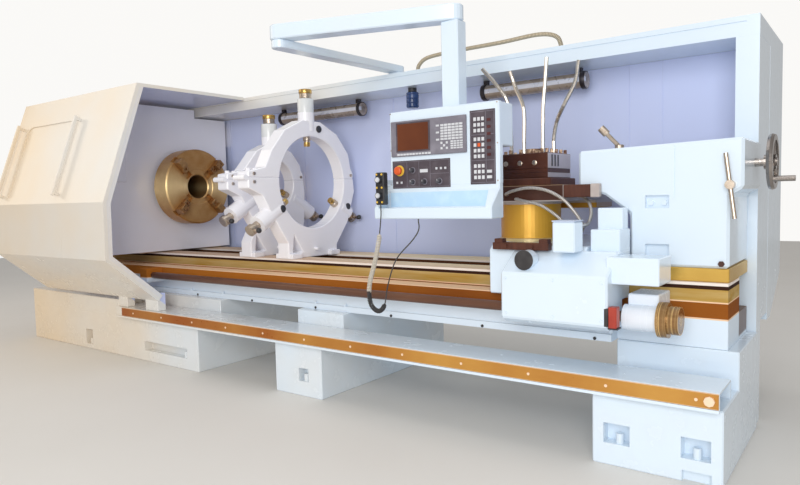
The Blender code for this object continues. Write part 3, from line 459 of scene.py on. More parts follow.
# The rests' enamel is painted whiter than the other white parts: painted light
RESTS_PAINTED_LIGHT = enamel("rests_enamel_painted_light", (0.95, 0.95, 1.0), (0.84, 0.84, 0.90))
TOOL = ground_metal("slide_and_wiper_dark", (0.14, 0.042, 0.022), (0.035, 0.010, 0.006), (1, 1, 0.2), 0.42,
                    lines=60, metallic=0.2)
BRONZE = ground_metal("tail_base_bronze", (0.76, 0.52, 0.12), (0.48, 0.27, 0.05), (0.05, 1, 1), 0.34,
                      lines=60, metallic=0.6, contrast=0.3)
CHUCK = chuck_finish()
JAW = ground_metal("jaw_ground", (0.60, 0.36, 0.14), (0.20, 0.08, 0.03), (1, 1, 1), 0.28, 40, 0.7)
DRUM = drum_finish()
TURRET = turret_finish()
QUILL = turned_metal("quill_ground", (0.84, 0.80, 0.74), (0.46, 0.38, 0.30), (0, 0, LINE_Z - 0.01), 0, 0.16)
WHEEL = turned_metal("wheel_polished", (0.62, 0.58, 0.54), (0.16, 0.13, 0.12), (0, 0, LINE_Z - 0.01), 0, 0.20)
PIN = ground_metal("pin_steel", (0.70, 0.62, 0.52), (0.34, 0.26, 0.20), (1, 1, 1), 0.28)
BRASS = ground_metal("brass_pad", (0.82, 0.56, 0.20), (0.48, 0.28, 0.08), (1, 1, 1), 0.26)
PIPE = ground_metal("pipe_steel", (0.78, 0.74, 0.68), (0.40, 0.36, 0.32), (1, 1, 0.2), 0.22)
GREY = moulded("bezel_grey", (0.19, 0.18, 0.22), (0.27, 0.26, 0.31), 0.5)
PLATE = moulded("key_plate_dark", (0.070, 0.055, 0.070), (0.12, 0.10, 0.12), 0.5)
BEIGE = moulded("end_block_beige", (0.46, 0.40, 0.38), (0.58, 0.52, 0.48), 0.4)
TRAY_BLUE = moulded("tray_pale_blue", (0.52, 0.74, 0.95), (0.62, 0.82, 0.97), 0.35)
BLACK = moulded("black_moulded", (0.022, 0.022, 0.026), (0.06, 0.06, 0.065), 0.4)
RUBBER = moulded("black_rubber", (0.03, 0.028, 0.03), (0.075, 0.07, 0.07), 0.6)
DARK_RED = moulded("lamp_dark_red", (0.07, 0.015, 0.015), (0.13, 0.03, 0.03), 0.35)
SWITCH_RED = moulded("switch_red", (0.36, 0.035, 0.02), (0.50, 0.07, 0.04), 0.35)
RED = moulded("stop_red", (0.72, 0.10, 0.02), (0.82, 0.16, 0.04), 0.3)
YELLOW = moulded("ring_yellow", (0.80, 0.52, 0.06), (0.86, 0.60, 0.12), 0.35)
KEY_PALE = moulded("key_pale", (0.62, 0.64, 0.68), (0.72, 0.74, 0.78), 0.45)
KEY_DARK = moulded("key_dark", (0.05, 0.05, 0.06), (0.11, 0.11, 0.13), 0.45)
KEY_BLUE = moulded("panel_pale_blue", (0.50, 0.58, 0.74), (0.60, 0.67, 0.82), 0.4)
LENS = moulded("lens_blue", (0.02, 0.05, 0.16), (0.05, 0.10, 0.26), 0.15)
GLASS = screen_glass()
LAMP = lamp_finish()
BRAID = braid("braided_hose", (0.78, 0.76, 0.73), (0.24, 0.22, 0.21), 0.016)

NODE_FINISH = {
    WHITE: "foot_headstock foot_middle foot_tailstock rail_tray headstock door_handle_left door_handle_right "
           "rear_guard saddle lube_box tailstock_body arm_lower_link arm_upper_link console_case",
    DOOR: "sliding_door",
    INNER: "splash_panel",
    WALL_PAINTED_LIGHT: "headstock_wall",
    RESTS_PAINTED_LIGHT: "steady_right_lower steady_right_upper steady_left_lower steady_left_upper",
    BEARING: "screw_bearing",
    BED: "bed",
    STRIP: "rail_strip",
    CHUCK: "spindle chuck_body",
    JAW: "chuck_jaw_1 chuck_jaw_2 chuck_jaw_3 chuck_jaw_4",
    SCREW: "ball_screw",
    DRUM: "cross_guide",
    TOOL: "cross_slide way_wiper",
    TURRET: "tool_turret",
    BRONZE: "tailstock_base",
    QUILL: "tailstock_quill",
    WHEEL: "handwheel",
    PIN: "clamp_lever quill_lock_lever steady_right_quill_1 steady_right_quill_2 steady_right_quill_3 "
         "steady_left_quill_1 steady_left_quill_2 steady_left_quill_3",
    PIPE: "coolant_pipe_1 coolant_pipe_2 coolant_pipe_3 coolant_pipe_4",
    LAMP: "work_lamp_left work_lamp_right",
    GREY: "screen_unit",
    BLACK: "hand_pendant",
    RED: "stop_button",
}
for finish, names in NODE_FINISH.items():
    for name in names.split():
        mesh = frame["nodes"][name].data
        mesh.materials.clear()
        mesh.materials.append(finish.material)


def machine(*points):
    """Machine places as rows of frame coordinates."""
    return np.asarray(points, float) + RAIL_END


def grid_faces(rows, columns, around=True):
    """Quads between neighbouring rows and columns of points; around joins the last column to the first."""
    i = np.arange(rows - 1)[:, None]
    j = np.arange(columns if around else columns - 1)[None, :]
    k = (j + 1) % columns
    quads = np.stack([i * columns + j, i * columns + k, (i + 1) * columns + k, (i + 1) * columns + j], -1)
    return quads.reshape(-1, 4)


def put(name, points, faces, body, finish, bevel=0.0, smooth=None):
    """Closed surface as a piece: doubles merged, faces turned outwards, riding on its body.

    bevel is the width of its softened edges, and smooth the angle in degrees up to which edges are rounded
    in shading."""
    mesh = bpy.data.meshes.new(name)
    mesh.from_pydata(np.asarray(points).reshape(-1, 3).tolist(), [], [list(map(int, face)) for face in faces])
    shape = bmesh.new()
    shape.from_mesh(mesh)
    bmesh.ops.remove_doubles(shape, verts=shape.verts, dist=1e-6)
    bmesh.ops.recalc_face_normals(shape, faces=shape.faces)
    shape.to_mesh(mesh)
    shape.free()
    mesh.materials.append(finish.material)
    if smooth is not None:
        mesh.shade_smooth()
        mesh.set_sharp_from_angle(angle=math.radians(smooth))
    item = bpy.data.objects.new(name, mesh)
    bpy.context.scene.collection.objects.link(item)
    if bevel:
        edge = item.modifiers.new("soft edges", "BEVEL")
        edge.width, edge.segments, edge.limit_method = bevel, 1, "ANGLE"
    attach(item, body)
    return item


def repeat(points, faces, places):
    """One small shape copied to many places, as one array of points and one of faces."""
    places = np.asarray(places, float).reshape(-1, 1, 3)
    count = len(places)
    many = (points[None] + places).reshape(-1, 3)
    step = (np.arange(count) * len(points))[:, None]
    return many, [tuple(face) for start in step for face in (np.array(f) + start for f in faces)]


def turned(profile, axis="x", steps=24):
    """A profile of (radius, distance) turned once round an axis through the origin, closed at its ends."""
    profile = np.asarray(profile, float)
    angle = np.linspace(0, math.tau, steps, endpoint=False)
    a = profile[:, :1] * np.cos(angle)
    b = profile[:, :1] * np.sin(angle)
    along = np.broadcast_to(profile[:, 1:], a.shape)
    order = {"x": (along, a, b), "y": (a, along, b), "z": (a, b, along)}[axis]
    faces = [tuple(face) for face in grid_faces(len(profile), steps)]
    if profile[0, 0] > 0:
        faces.append(tuple(range(steps)))
    if profile[-1, 0] > 0:
        faces.append(tuple(range((len(profile) - 1) * steps, len(profile) * steps)))
    return np.stack(order, -1).reshape(-1, 3), faces


def boxes(places):
    """Boxes from rows of (x0, x1, y0, y1, z0, z1)."""
    span = np.asarray(places, float).reshape(-1, 3, 2)
    pick = np.array([(i, j, k) for i in (0, 1) for j in (0, 1) for k in (0, 1)])
    points = np.stack([span[:, n, pick[:, n]] for n in range(3)], -1)
    sides = np.array([(0, 1, 3, 2), (4, 6, 7, 5), (0, 4, 5, 1), (2, 3, 7, 6), (0, 2, 6, 4), (1, 5, 7, 3)])
    return points.reshape(-1, 3), (sides[None] + 8 * np.arange(len(span))[:, None, None]).reshape(-1, 4)


def put_boxes(name, places, body, finish, bevel=0.001):
    """One piece of many boxes, in machine places."""
    points, faces = boxes(places)
    return put(name, points + RAIL_END, faces, body, finish, bevel)


def put_turned(name, profile, places, body, finish, axis="y", steps=24, smooth=35):
    """One piece of the same turned shape at each of many machine places."""
    points, faces = turned(profile, axis, steps)
    points, faces = repeat(points, faces, machine(*places))
    return put(name, points, faces, body, finish, smooth=smooth)


def hexagon(radius, height):
    """A bolt head's profile: flat, chamfered, and square to its seat."""
    return [(0, -height), (radius * 0.82, -height), (radius, -height * 0.8), (radius, 0), (0, 0)]


def lengths_along(route):
    """At each point, the sum of the distances between neighbouring points up to it."""
    return np.concatenate([[0], np.cumsum(np.linalg.norm(np.diff(route, axis=0), axis=1))])


def headings(route):
    """At each point, the line's direction at length 1: the difference between its neighbours."""
    heading = np.gradient(route, axis=0)
    return heading / np.linalg.norm(heading, axis=1)[:, None]


def tube(name, route, radius, body, finish, sides=12):
    """A round tube along a route: circles in the plane square to the path, turned as little as possible."""
    route = np.asarray(route, float)
    heading = headings(route)
    side = np.cross(heading[0], (0.3, 0.5, 0.8))
    sides_along = []
    for direction in heading:
        side = side - direction * np.dot(side, direction)
        side /= np.linalg.norm(side)
        sides_along.append(side)
    first = np.array(sides_along)
    second = np.cross(heading, first)
    radius = np.broadcast_to(np.asarray(radius, float), len(route))[:, None, None]
    angle = np.linspace(0, math.tau, sides, endpoint=False)[None, :, None]
    rings = route[:, None] + radius * (first[:, None] * np.cos(angle) + second[:, None] * np.sin(angle))
    faces = [tuple(face) for face in grid_faces(len(route), sides)]
    faces += [tuple(range(sides)), tuple(range((len(route) - 1) * sides, len(route) * sides))]
    item = put(name, rings, faces, body, finish, smooth=50)
    loops = np.zeros(len(item.data.loops), int)
    item.data.loops.foreach_get("vertex_index", loops)
    around = np.tile(np.arange(sides) / sides, len(route))[loops]
    along = np.repeat(lengths_along(route), sides)[loops]
    face_of = np.repeat(np.arange(len(item.data.polygons)), [p.loop_total for p in item.data.polygons])
    top = np.zeros(len(item.data.polygons))
    np.maximum.at(top, face_of, around)
    around = np.where((top[face_of] > 0.75) & (around < 0.25), around + 1, around)
    layer = item.data.uv_layers.new(name="along")
    layer.data.foreach_set("uv", np.stack([around, along], -1).ravel())
    return item


def curve_through(points, count):
    """Evenly spread points on a curve through the given ones, as cubics between neighbours."""
    knots = np.asarray(points, float)
    knots = np.vstack([2 * knots[0] - knots[1], knots, 2 * knots[-1] - knots[-2]])
    t = np.linspace(0, 1, 24, endpoint=False)[None, :, None]
    a, b, c, d = (knots[n:len(knots) - 3 + n, None] for n in range(4))
    square, cube = 2 * a - 5 * b + 4 * c - d, 3 * b - a - 3 * c + d
    dense = 0.5 * (2 * b + (c - a) * t + square * t * t + cube * t ** 3)
    dense = np.vstack([dense.reshape(-1, 3), knots[-2]])
    reach = lengths_along(dense)
    even = np.linspace(0, reach[-1], count)
    route = np.stack([np.interp(even, reach, dense[:, n]) for n in range(3)], -1)
    step = reach[-1] / (count - 1)
    first, last = knots[2] - knots[1], knots[-3] - knots[-2]
    route[1] = knots[1] + first / np.linalg.norm(first) * step
    route[-2] = knots[-2] + last / np.linalg.norm(last) * step
    return route


def hoses():
    """Three braided coolant hoses from the guide to the lubricator, and the conduit over the guard."""
    routes = (
        [(-1.11, 0.3795, 1.205), (-1.11, 0.352, 1.205), (-1.06, 0.336, 1.222), (-0.97, 0.332, 1.236),
         (-0.87, 0.33, 1.222), (-0.78, 0.33, 1.175), (-0.715, 0.33, 1.105), (-0.68, 0.32, 1.055),
         (-0.662, 0.285, 1.028), (-0.66, 0.235, 1.02), (-0.66, 0.1965, 1.02)],
        [(-1.05, 0.3795, 1.18), (-1.05, 0.352, 1.18), (-0.99, 0.337, 1.168), (-0.91, 0.333, 1.15),
         (-0.83, 0.33, 1.105), (-0.77, 0.325, 1.055), (-0.73, 0.295, 1.02), (-0.708, 0.25, 1.01),
         (-0.705, 0.225, 1.01), (-0.705, 0.1965, 1.01)],
        [(-0.8295, 0.50, 1.193), (-0.80, 0.50, 1.193), (-0.755, 0.475, 1.19), (-0.705, 0.43, 1.18),
         (-0.665, 0.385, 1.15), (-0.642, 0.345, 1.105), (-0.637, 0.297, 1.060), (-0.637, 0.24, 1.052),
         (-0.640, 0.1965, 1.052)],
    )
    hose_radius, conduit_radius = 0.0083, 0.0135
    for number, points in enumerate(routes):
        dense = curve_through(curve_through(machine(*points), 34), 130)
        item = tube(f"braided_hose_{number + 1}", dense, hose_radius, "carriage", BRAID, 14)
        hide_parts(f"coolant_hose_{number + 1}")
    points = [(-2.13, 1.04, 2.0607), (-2.13, 1.04, 2.105), (-2.06, 1.06, 2.165), (-1.82, 1.09, 2.185),
              (-1.51, 1.10, 2.190), (-1.26, 1.11, 2.200), (-1.15, 1.13, 2.175), (-1.13, 1.16, 2.12),
              (-1.13, 1.16, 2.0607)]
    route = curve_through(curve_through(machine(*points), 46), 150)
    item = tube("guard_conduit", route, conduit_radius, "base", CONDUIT, 14)
    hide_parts("arm_conduit")


def ribbed(name, bright, dark, pitch):
    """Ribbed conduit: rings across its length, as a wave of the distance along it."""
    hose = Finish(name, Metallic=0.4)
    _, along = hose.on_tube()
    ribs = (along * (math.tau / pitch)).wave() * 0.5 + 0.5
    hose.feed("Base Color", hose.mix(ribs, dark, bright))
    hose.feed("Roughness", ribs * 0.1 + 0.35)
    hose.bump(ribs, 0.002, 0.8)
    return hose


CONDUIT = ribbed("conduit_ribbed", (0.66, 0.58, 0.44), (0.28, 0.22, 0.14), 0.009)


def wound_cord():
    """The hand unit's cord as a line: a lead, a coil of many turns, and a loop up to the shelf.

    The coil is a circle square to the route, turned once for each pitch travelled along it. It runs from the
    9th to the 39.5th of the route's 69 parts, and it is cream up to the 28th. Returns the line and the
    lengths of wire between which it is cream."""
    points = [(-1.6886, 0.02, 1.1645), (-1.6886, 0.02, 1.11), (-1.6907, 0.01, 1.03), (-1.6928, 0, 0.97),
              (-1.7235, 0, 0.855), (-1.76, 0, 0.75), (-1.7695, 0, 0.673), (-1.752, 0, 0.6105),
              (-1.704, 0, 0.5865), (-1.663, 0, 0.625), (-1.637, 0, 0.734), (-1.585, 0.01, 0.872),
              (-1.504, 0.05, 0.975), (-1.480, 0.075, 1.030), (-1.480, 0.075, 1.0873)]
    route = curve_through(curve_through(machine(*points), 70), 1300)
    reach = lengths_along(route)
    start, change, stop = (reach[-1] * part / 69 for part in (9, 28, 39.5))
    run_in = 0.012
    heading = headings(route)
    first = np.cross(heading, (0, 1, 0))
    first /= np.linalg.norm(first, axis=1)[:, None]
    second = np.cross(heading, first)
    grow = np.clip((reach - start) / run_in, 0, 1) * np.clip((stop - reach) / run_in, 0, 1)
    turn = (reach - start) * (math.tau / COIL_PITCH)
    coil = (COIL_RADIUS - CORD_RADIUS) * grow
    wound = route + coil[:, None] * (first * np.cos(turn)[:, None] + second * np.sin(turn)[:, None])
    wire = lengths_along(wound)
    return wound, float(np.interp(start, reach, wire)), float(np.interp(change, reach, wire))


CORD_LINE, CREAM_START, CREAM_END = wound_cord()


def pendant_cord():
    """The curly cord as a tube along its wound line."""
    item = tube("hand_unit_cord", CORD_LINE, CORD_RADIUS, "console", CORD, 8)
    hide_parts("pendant_cord")


def cord_finish():
    """Two jackets on one cord, told by the length of wire: cream on the upper coil, black elsewhere."""
    cord = Finish("cord_jackets", Roughness=0.5)
    _, along = cord.on_tube()
    patches = cord.noise(60, 3)
    upper = along.step(CREAM_START, CREAM_START + 0.001) * (1 - along.step(CREAM_END, CREAM_END + 0.001))
    cream = cord.mix(patches, (0.56, 0.52, 0.45), (0.72, 0.68, 0.60))
    black = cord.mix(patches, (0.02, 0.02, 0.022), (0.07, 0.065, 0.065))
    cord.feed("Base Color", cord.mix(upper, black, cream))
    cord.feed("Roughness", patches * 0.2 + 0.35)
    return cord


CORD = cord_finish()


def keys(x0, x1, z0, z1, columns, rows, gap, face, depth):
    """Rows of keys: an even grid of small boxes that stand out from the panel."""
    wide, tall, sunk = (x1 - x0) / columns, (z1 - z0) / rows, 0.0005
    places = []
    for row in range(rows):
        for column in range(columns):
            left, low = x0 + column * wide + gap, z0 + row * tall + gap
            right, high = left + wide - 2 * gap, low + tall - 2 * gap
            places.append((left, right, face - depth, face + sunk, low, high))
    return places


def on_console(name, places, finish, bevel=0.001):
    """One piece of many boxes that rides on the console."""
    put_boxes(name, places, "console", finish, bevel)


def screen_and_keys():
    """The screen unit's glass in its frame, the soft keys under it, and the data keys beside it."""
    on_console("screen_bezel", [(-1.652, -1.430, 0.1235, 0.1262, 1.448, 1.607)], PLATE)
    on_console("screen_pane", [(-1.642, -1.440, 0.1222, 0.1237, 1.456, 1.599)], GLASS, 0.0005)
    on_console("soft_keys", keys(-1.648, -1.425, 1.428, 1.442, 11, 1, 0.002, SCREEN_FACE, 0.003), KEY_PALE,
               0.0006)
    rows = keys(-1.365, -1.228, 1.494, 1.580, 6, 6, 0.0018, SCREEN_FACE, 0.003)
    rows += keys(-1.304, -1.228, 1.446, 1.492, 4, 4, 0.0016, SCREEN_FACE, 0.003)
    rows += [(-1.391, -1.372, *SCREEN_KEY, z - 0.005, z + 0.005) for z in (1.573, 1.537, 1.500)]
    on_console("data_keys_pale", rows, KEY_PALE, 0.0006)
    middles = ((-1.358, 1.482), (-1.325, 1.482), (-1.342, 1.468), (-1.358, 1.454), (-1.325, 1.454))
    arrows = [(x - 0.006, x + 0.006, *SCREEN_KEY, z - 0.006, z + 0.006) for x, z in middles]
    on_console("arrow_keys", arrows, KEY_PALE, 0.0006)


def right_key_panel():
    """The tall key panel at the console's right, and the thin lines that frame both panels."""
    on_console("right_key_plate", [(-1.195, -1.050, *PANEL_PLATE, 1.260, 1.632)], PLATE)
    lines = [(-1.190, -1.055, *PANEL_LINE, z, z + 0.002) for z in (1.268, 1.379, 1.508, 1.622)]
    lines += [(x, x + 0.002, *PANEL_LINE, 1.268, 1.624) for x in (-1.190, -1.104, -1.057)]
    lines += [(-1.685, -1.322, *PANEL_LINE, z, z + 0.0016) for z in (1.258, 1.395)]
    lines += [(x, x + 0.0016, *PANEL_LINE, 1.258, 1.396) for x in (-1.594, -1.515, -1.442, -1.323)]
    lines += [(-1.442, -1.323, *PANEL_LINE, 1.325, 1.3266)]
    on_console("panel_lines", lines, GREY, 0)
    pale, red = [], []
    for low, count in ((1.521, 3), (1.392, 4), (1.286, 3)):
        for row in range(count):
            for column in range(3):
                x, z = -1.172 + column * 0.0225, low + row * 0.0285
                key = (x, x + 0.015, *PANEL_KEY, z, z + 0.018)
                (red if (low, row, column) == (1.392, 2, 1) else pale).append(key)
    pale += [(-1.098, -1.070, *PANEL_KEY, z, z + 0.015) for z in (1.288, 1.316)]
    on_console("right_keys_pale", pale, KEY_PALE, 0.0008)
    on_console("right_keys_red", red, RED, 0.0008)
    lamps = [(-1.096, -1.076, *PANEL_LAMP, z, z + 0.014) for z in np.arange(1.400, 1.605, 0.0345)]
    on_console("right_lamps_dark", lamps, DARK_RED, 0.0008)


def lower_panel():
    """The panel under the screen: a plate in four pieces round the stop button's hole, knobs and switches."""
    hole, gap = 0.015, 0.0001
    left, right = STOP_PLACE[0] - hole, STOP_PLACE[0] + hole
    low, high = STOP_PLACE[1] - hole, STOP_PLACE[1] + hole
    around = [(-1.691, left, 1.252, 1.402), (right, -1.316, 1.252, 1.402),
              (left + gap, right - gap, 1.252, low), (left + gap, right - gap, high, 1.402)]
    on_console("lower_panel_plate", [(a, b, *PANEL_PLATE, c, d) for a, b, c, d in around], PLATE, 0)
    on_console("count_display", [(-1.507, -1.456, *PANEL_LAMP, 1.334, 1.352)], KEY_PALE)
    middles = ((-1.400, 1.352), (-1.372, 1.352), (-1.345, 1.352), (-1.660, 1.284), (-1.630, 1.284))
    small = [(x - 0.006, x + 0.006, *PANEL_KEY, z - 0.006, z + 0.006) for x, z in middles]
    on_console("small_switches", small, KEY_PALE)
    knob = [(0, -0.026), (0.009, -0.026), (0.0115, -0.023), (0.013, 0), (0, 0)]
    middles = ((-1.555, 1.285), (-1.478, 1.285), (-1.383, 1.285), (-1.555, 1.348))
    places = [(x, PANEL_PLATE[0], z) for x, z in middles]
    put_turned("selector_knobs", knob, places, "console", KEY_DARK)
    skirt = [(0.013, -0.0015), (0.0175, -0.0015), (0.0175, 0), (0, 0), (0, -0.0015)]
    put_turned("selector_skirts", skirt, places, "console", GREY)
    marks = [(x - 0.001, x + 0.001, 0.1115, 0.1125, z, z + 0.010) for x, z in middles]
    on_console("selector_marks", marks, KEY_PALE, 0)
    ring = [(0.0165, -0.004), (0.029, -0.004), (0.030, -0.002), (0.030, 0), (0.0165, 0), (0.0165, -0.004)]
    put_turned("stop_ring", ring, [(STOP_PLACE[0], PANEL_PLATE[0], STOP_PLACE[1])], "console", YELLOW,
               steps=32)


def console_extras():
    """The console's corner screws, the hand unit's dials and keys, and the pale back of the tray."""
    corners = [(x, 0.1400, z) for x in (-1.700, -1.039) for z in (1.276, 1.462, 1.662)]
    put_turned("console_screws", hexagon(0.004, 0.002), corners, "console", PIN, steps=12)
    dial = [(0, -0.008), (0.011, -0.008), (0.0145, -0.002), (0.0145, 0.003), (0, 0.003)]
    dials = [(-1.689, -0.004, z) for z in (1.300, 1.215)]
    put_turned("hand_unit_dials", dial, dials, "console", KEY_PALE)
    key = [(0, -0.003), (0.005, -0.003), (0.006, 0), (0, 0)]
    places = [(x, 0.012, z) for x in (-1.706, -1.672) for z in (1.258, 1.180, 1.329)]
    put_turned("hand_unit_keys", key, places, "console", YELLOW, steps=14)
    on_console("tray_back", [(-1.706, -1.094, 0.1366, 0.1384, 1.152, 1.230)], TRAY_BLUE)


def quill_end(name, number, centre, ring_r, angle, boss):
    """What a quill carries: a brass pad at its tip, and outside a black knob, or a brass grip on the top one.

    The quill points from the rest's centre at the angle; its pad and grip are turned about that line."""
    body, turn = f"{name}_q{number}", math.radians(angle)
    out = np.array([0, math.cos(turn), math.sin(turn)])
    spin = np.array([(1, 0, 0), np.cross(out, (1, 0, 0)), out])
    tip = ring_r - 0.072
    profile = [(0, tip), (0.020, tip), (0.0235, tip + 0.0055), (0.0235, tip + 0.0315), (0, tip + 0.0315)]
    pad, faces = turned(profile, "z", 20)
    put(f"{name}_pad_{number}", pad @ spin + centre + RAIL_END, faces, body, BRASS, smooth=35)
    if number == 1:
        profile = [(0, 0.0), (0.046, 0), (0.048, 0.004), (0.048, 0.026), (0.046, 0.030), (0, 0.030)]
        grip, faces = turned(profile, "z", 28)
        place = centre + out * (ring_r + 0.31) + RAIL_END - (0, 0, 0.0005)
        put(f"{name}_cap_{number}", grip @ spin + place, faces, body, BRASS, smooth=35)
    else:
        ball = [(0.019 * math.sin(t), 0.019 * (1 - math.cos(t)) - 0.006) for t in np.linspace(0, math.pi, 9)]
        points, faces = turned(ball, "x", 18)
        place = centre + out * (ring_r + boss + 0.070) + np.array([0.068, 0, 0])
        put(f"{name}_knob_{number}", points + place + RAIL_END, faces, body, BLACK,
            smooth=60)


def steady_fittings():
    """Quill ends, top sleeves, bolts and studs of both steady rests, placed from each rest's bore radius."""
    bolt = [(0, 0.008), (0.010, 0.008), (0.012, 0.006), (0.012, 0), (0, 0)]
    sleeve = [(0.0505, 0.165), (0.0595, 0.165), (0.0595, 0.268), (0.0575, 0.272), (0.0505, 0.272),
              (0.0505, 0.165)]
    for name, (x, ring_r, back_boss, front_boss) in STEADIES.items():
        centre = np.array([x, *RING_CENTRE])
        front, back = RING_CENTRE[0] - ring_r, RING_CENTRE[0] + ring_r
        for number, angle, boss in ((1, 90, TOP_BOSS), (2, -30, back_boss), (3, 210, front_boss)):
            quill_end(name, number, centre, ring_r, angle, boss)
        put_turned(f"{name}_top_sleeve", [(r, ring_r + up) for r, up in sleeve], [tuple(centre)],
                   name + "_top", WHITE, axis="z", steps=32)
        side, hinge = x + REST_SIDE, front - HINGE_OUT
        put_turned(f"{name}_seam_bolts", bolt, [(side, hinge, 1.330)], name, PIN, axis="x",
                   steps=6)
        put_turned(f"{name}_top_bolts", bolt, [(side, y, 1.385) for y in (hinge, back + 0.0825)],
                   name + "_top", PIN, axis="x", steps=6)
    side, middle = STEADIES["steady_right"][0] + REST_SIDE, RING_CENTRE[0]
    stud = [(0, 0.010), (0.022, 0.010), (0.026, 0.006), (0.026, 0), (0, 0)]
    put_turned("rest_top_stud", stud, [(side, middle + 0.07, 1.718)], "steady_right_top", BLACK,
               axis="x", steps=20)
    put_turned("rest_low_studs", stud, [(side, y, 1.145) for y in (middle - 0.315, middle + 0.370)],
               "steady_right", BLACK, axis="x", steps=20)


def turret_fittings():
    """Round marks on the tool block's front, dark slots on its right face, packing bars in its grooves."""
    x, y = TURRET_MIDDLE
    mark = [(0, -0.0012), (0.012, -0.0012), (0.014, 0.0), (0.014, 0.001), (0, 0.001)]
    marks = [(place, y - 0.157, 1.372) for place in (-1.175, -1.09, -1.005)]
    put_turned("turret_marks", mark, marks, "turret_unit", PIN, steps=24)
    bars = [(-0.9285, -0.9262, place, place + 0.016, 1.352, 1.414) for place in (0.535, 0.575, 0.615)]
    put_boxes("turret_side_slots", bars, "turret_unit", BLACK, 0.0006)
    far, near, end, height = 0.1545, 0.1305, 0.13, (1.3190, 1.3415)
    packing = [(x - far, x + far, y - far, y - near, *height), (x - far, x + far, y + near, y + far, *height),
               (x - far, x - near, y - end, y + end, *height), (x + near, x + far, y - end, y + end, *height)]
    put_boxes("turret_packing", packing, "turret_unit", TURRET, 0.0008)


def lamp_on_guard():
    """Signal lamp under the guard's beam: a black foot and a dark blue lens with three ribs."""
    foot = [(0, 0.0), (0.030, 0.0), (0.030, -0.025), (0.026, -0.030), (0, -0.030)]
    put_turned("signal_foot", foot, [SIGNAL_PLACE], "base", BLACK, axis="z", steps=28)
    lens = [(0, -0.030), (0.040, -0.030), (0.044, -0.035)]
    for rib in range(3):
        z = -0.040 - rib * 0.030
        lens += [(0.044, z), (0.041, z - 0.004), (0.044, z - 0.008)]
    lens += [(0.044, -0.128), (0.036, -0.136), (0, -0.138)]
    put_turned("signal_lens", lens, [SIGNAL_PLACE], "base", LENS, axis="z", steps=32)


def lamp_housings():
    """Round housings of both work lamps, with a raised black rim at each end."""
    for name, left, right in (("work_lamp_left", -3.58, -2.70), ("work_lamp_right", -1.66, -0.95)):
        rim = [(0, 0), (0.040, 0), (0.052, 0.002), (0.054, 0.006), (0.054, 0.028), (0.050, 0.032)]
        long = right - left
        profile = rim + [(0.0455, 0.034), (0.0455, long - 0.034)] + [(r, long - a) for r, a in rim[::-1]]
        put_turned(name + "_housing", profile, [(left, *LAMP_LINE)], "base", LAMP, axis="x",
                   steps=32)


def carriage_fittings():
    """The carriage's small parts: the red switch on its base, bolts, round cap, guide end and box lid."""
    switch = (-0.462, -0.424, 0.052, 0.100, 0.606, 0.700)
    put_boxes("apron_switch", [switch], "carriage", SWITCH_RED, 0.004)
    back = (-0.4800, -0.4605, 0.0490, 0.090, 0.612, 0.694)
    put_boxes("apron_switch_back", [back], "carriage", RUBBER, 0.003)
    base = (-0.4640, -0.4200, 0.056, 0.110, 0.600, 0.606)
    put_boxes("apron_switch_base", [base], "carriage", BLACK)
    bolts = [(x, 0.0500, z) for x in (-0.960, -0.720, -0.490) for z in (0.635, 0.805)]
    put_turned("apron_bolts", hexagon(0.007, 0.005), bolts, "carriage", WHITE, steps=12)
    disc = [(0, -0.003), (0.045, -0.003), (0.0475, -0.001), (0.0475, 0.004), (0, 0.004)]
    put_turned("apron_cap_disc", disc, [(CAP_X, 0.062, CAP_Z)], "carriage", RUBBER, steps=36)
    collar = [(0.0, 0), (0.0465, 0), (0.0465, 0.060), (0, 0.060)]
    put_turned("apron_cap_collar", collar, [(CAP_X, 0.0665, CAP_Z)], "carriage", WHITE,
               steps=36)
    side = (-0.7990, -0.6605, 0.382, 0.414, 1.184, 1.247)
    put_boxes("guide_side_plate", [side], "carriage", TOOL, 0.002)
    end = (-0.6600, -0.6150, 0.380, 0.415, 1.182, 1.249)
    put_boxes("guide_end_block", [end], "carriage", BEIGE, 0.003)
    put_boxes("lube_lid", [(-0.737, -0.625, 0.088, 0.198, 1.0725, 1.079)], "carriage", KEY_BLUE,
              0.002)


def rail_and_bed_fittings():
    """Dark screws low on the bed's front flange and a thin black strip behind the ways."""
    screws = [(x, 0.3000, 0.500) for x in np.arange(-4.95, -0.60, 0.62)]
    put_turned("bed_flange_screws", hexagon(0.008, 0.006), screws, "base", RUBBER, steps=12)
    put_boxes("way_back_black_strip", [(-5.38, -0.06, 1.150, 1.154, 0.770, 0.784)], "base", RUBBER)


def tailstock_fittings():
    """The tailstock's wiper end and the nuts of its front flange."""
    put_boxes("tail_wiper", [(-0.490, -0.4705, 0.425, 0.885, 0.789, 0.846)], "tailstock", RUBBER)
    nuts = [(x, 0.4200, 0.872) for x in (-0.450, -0.075)]
    put_turned("tail_flange_nuts", hexagon(0.014, 0.012), nuts, "tailstock", TOOL, steps=6)


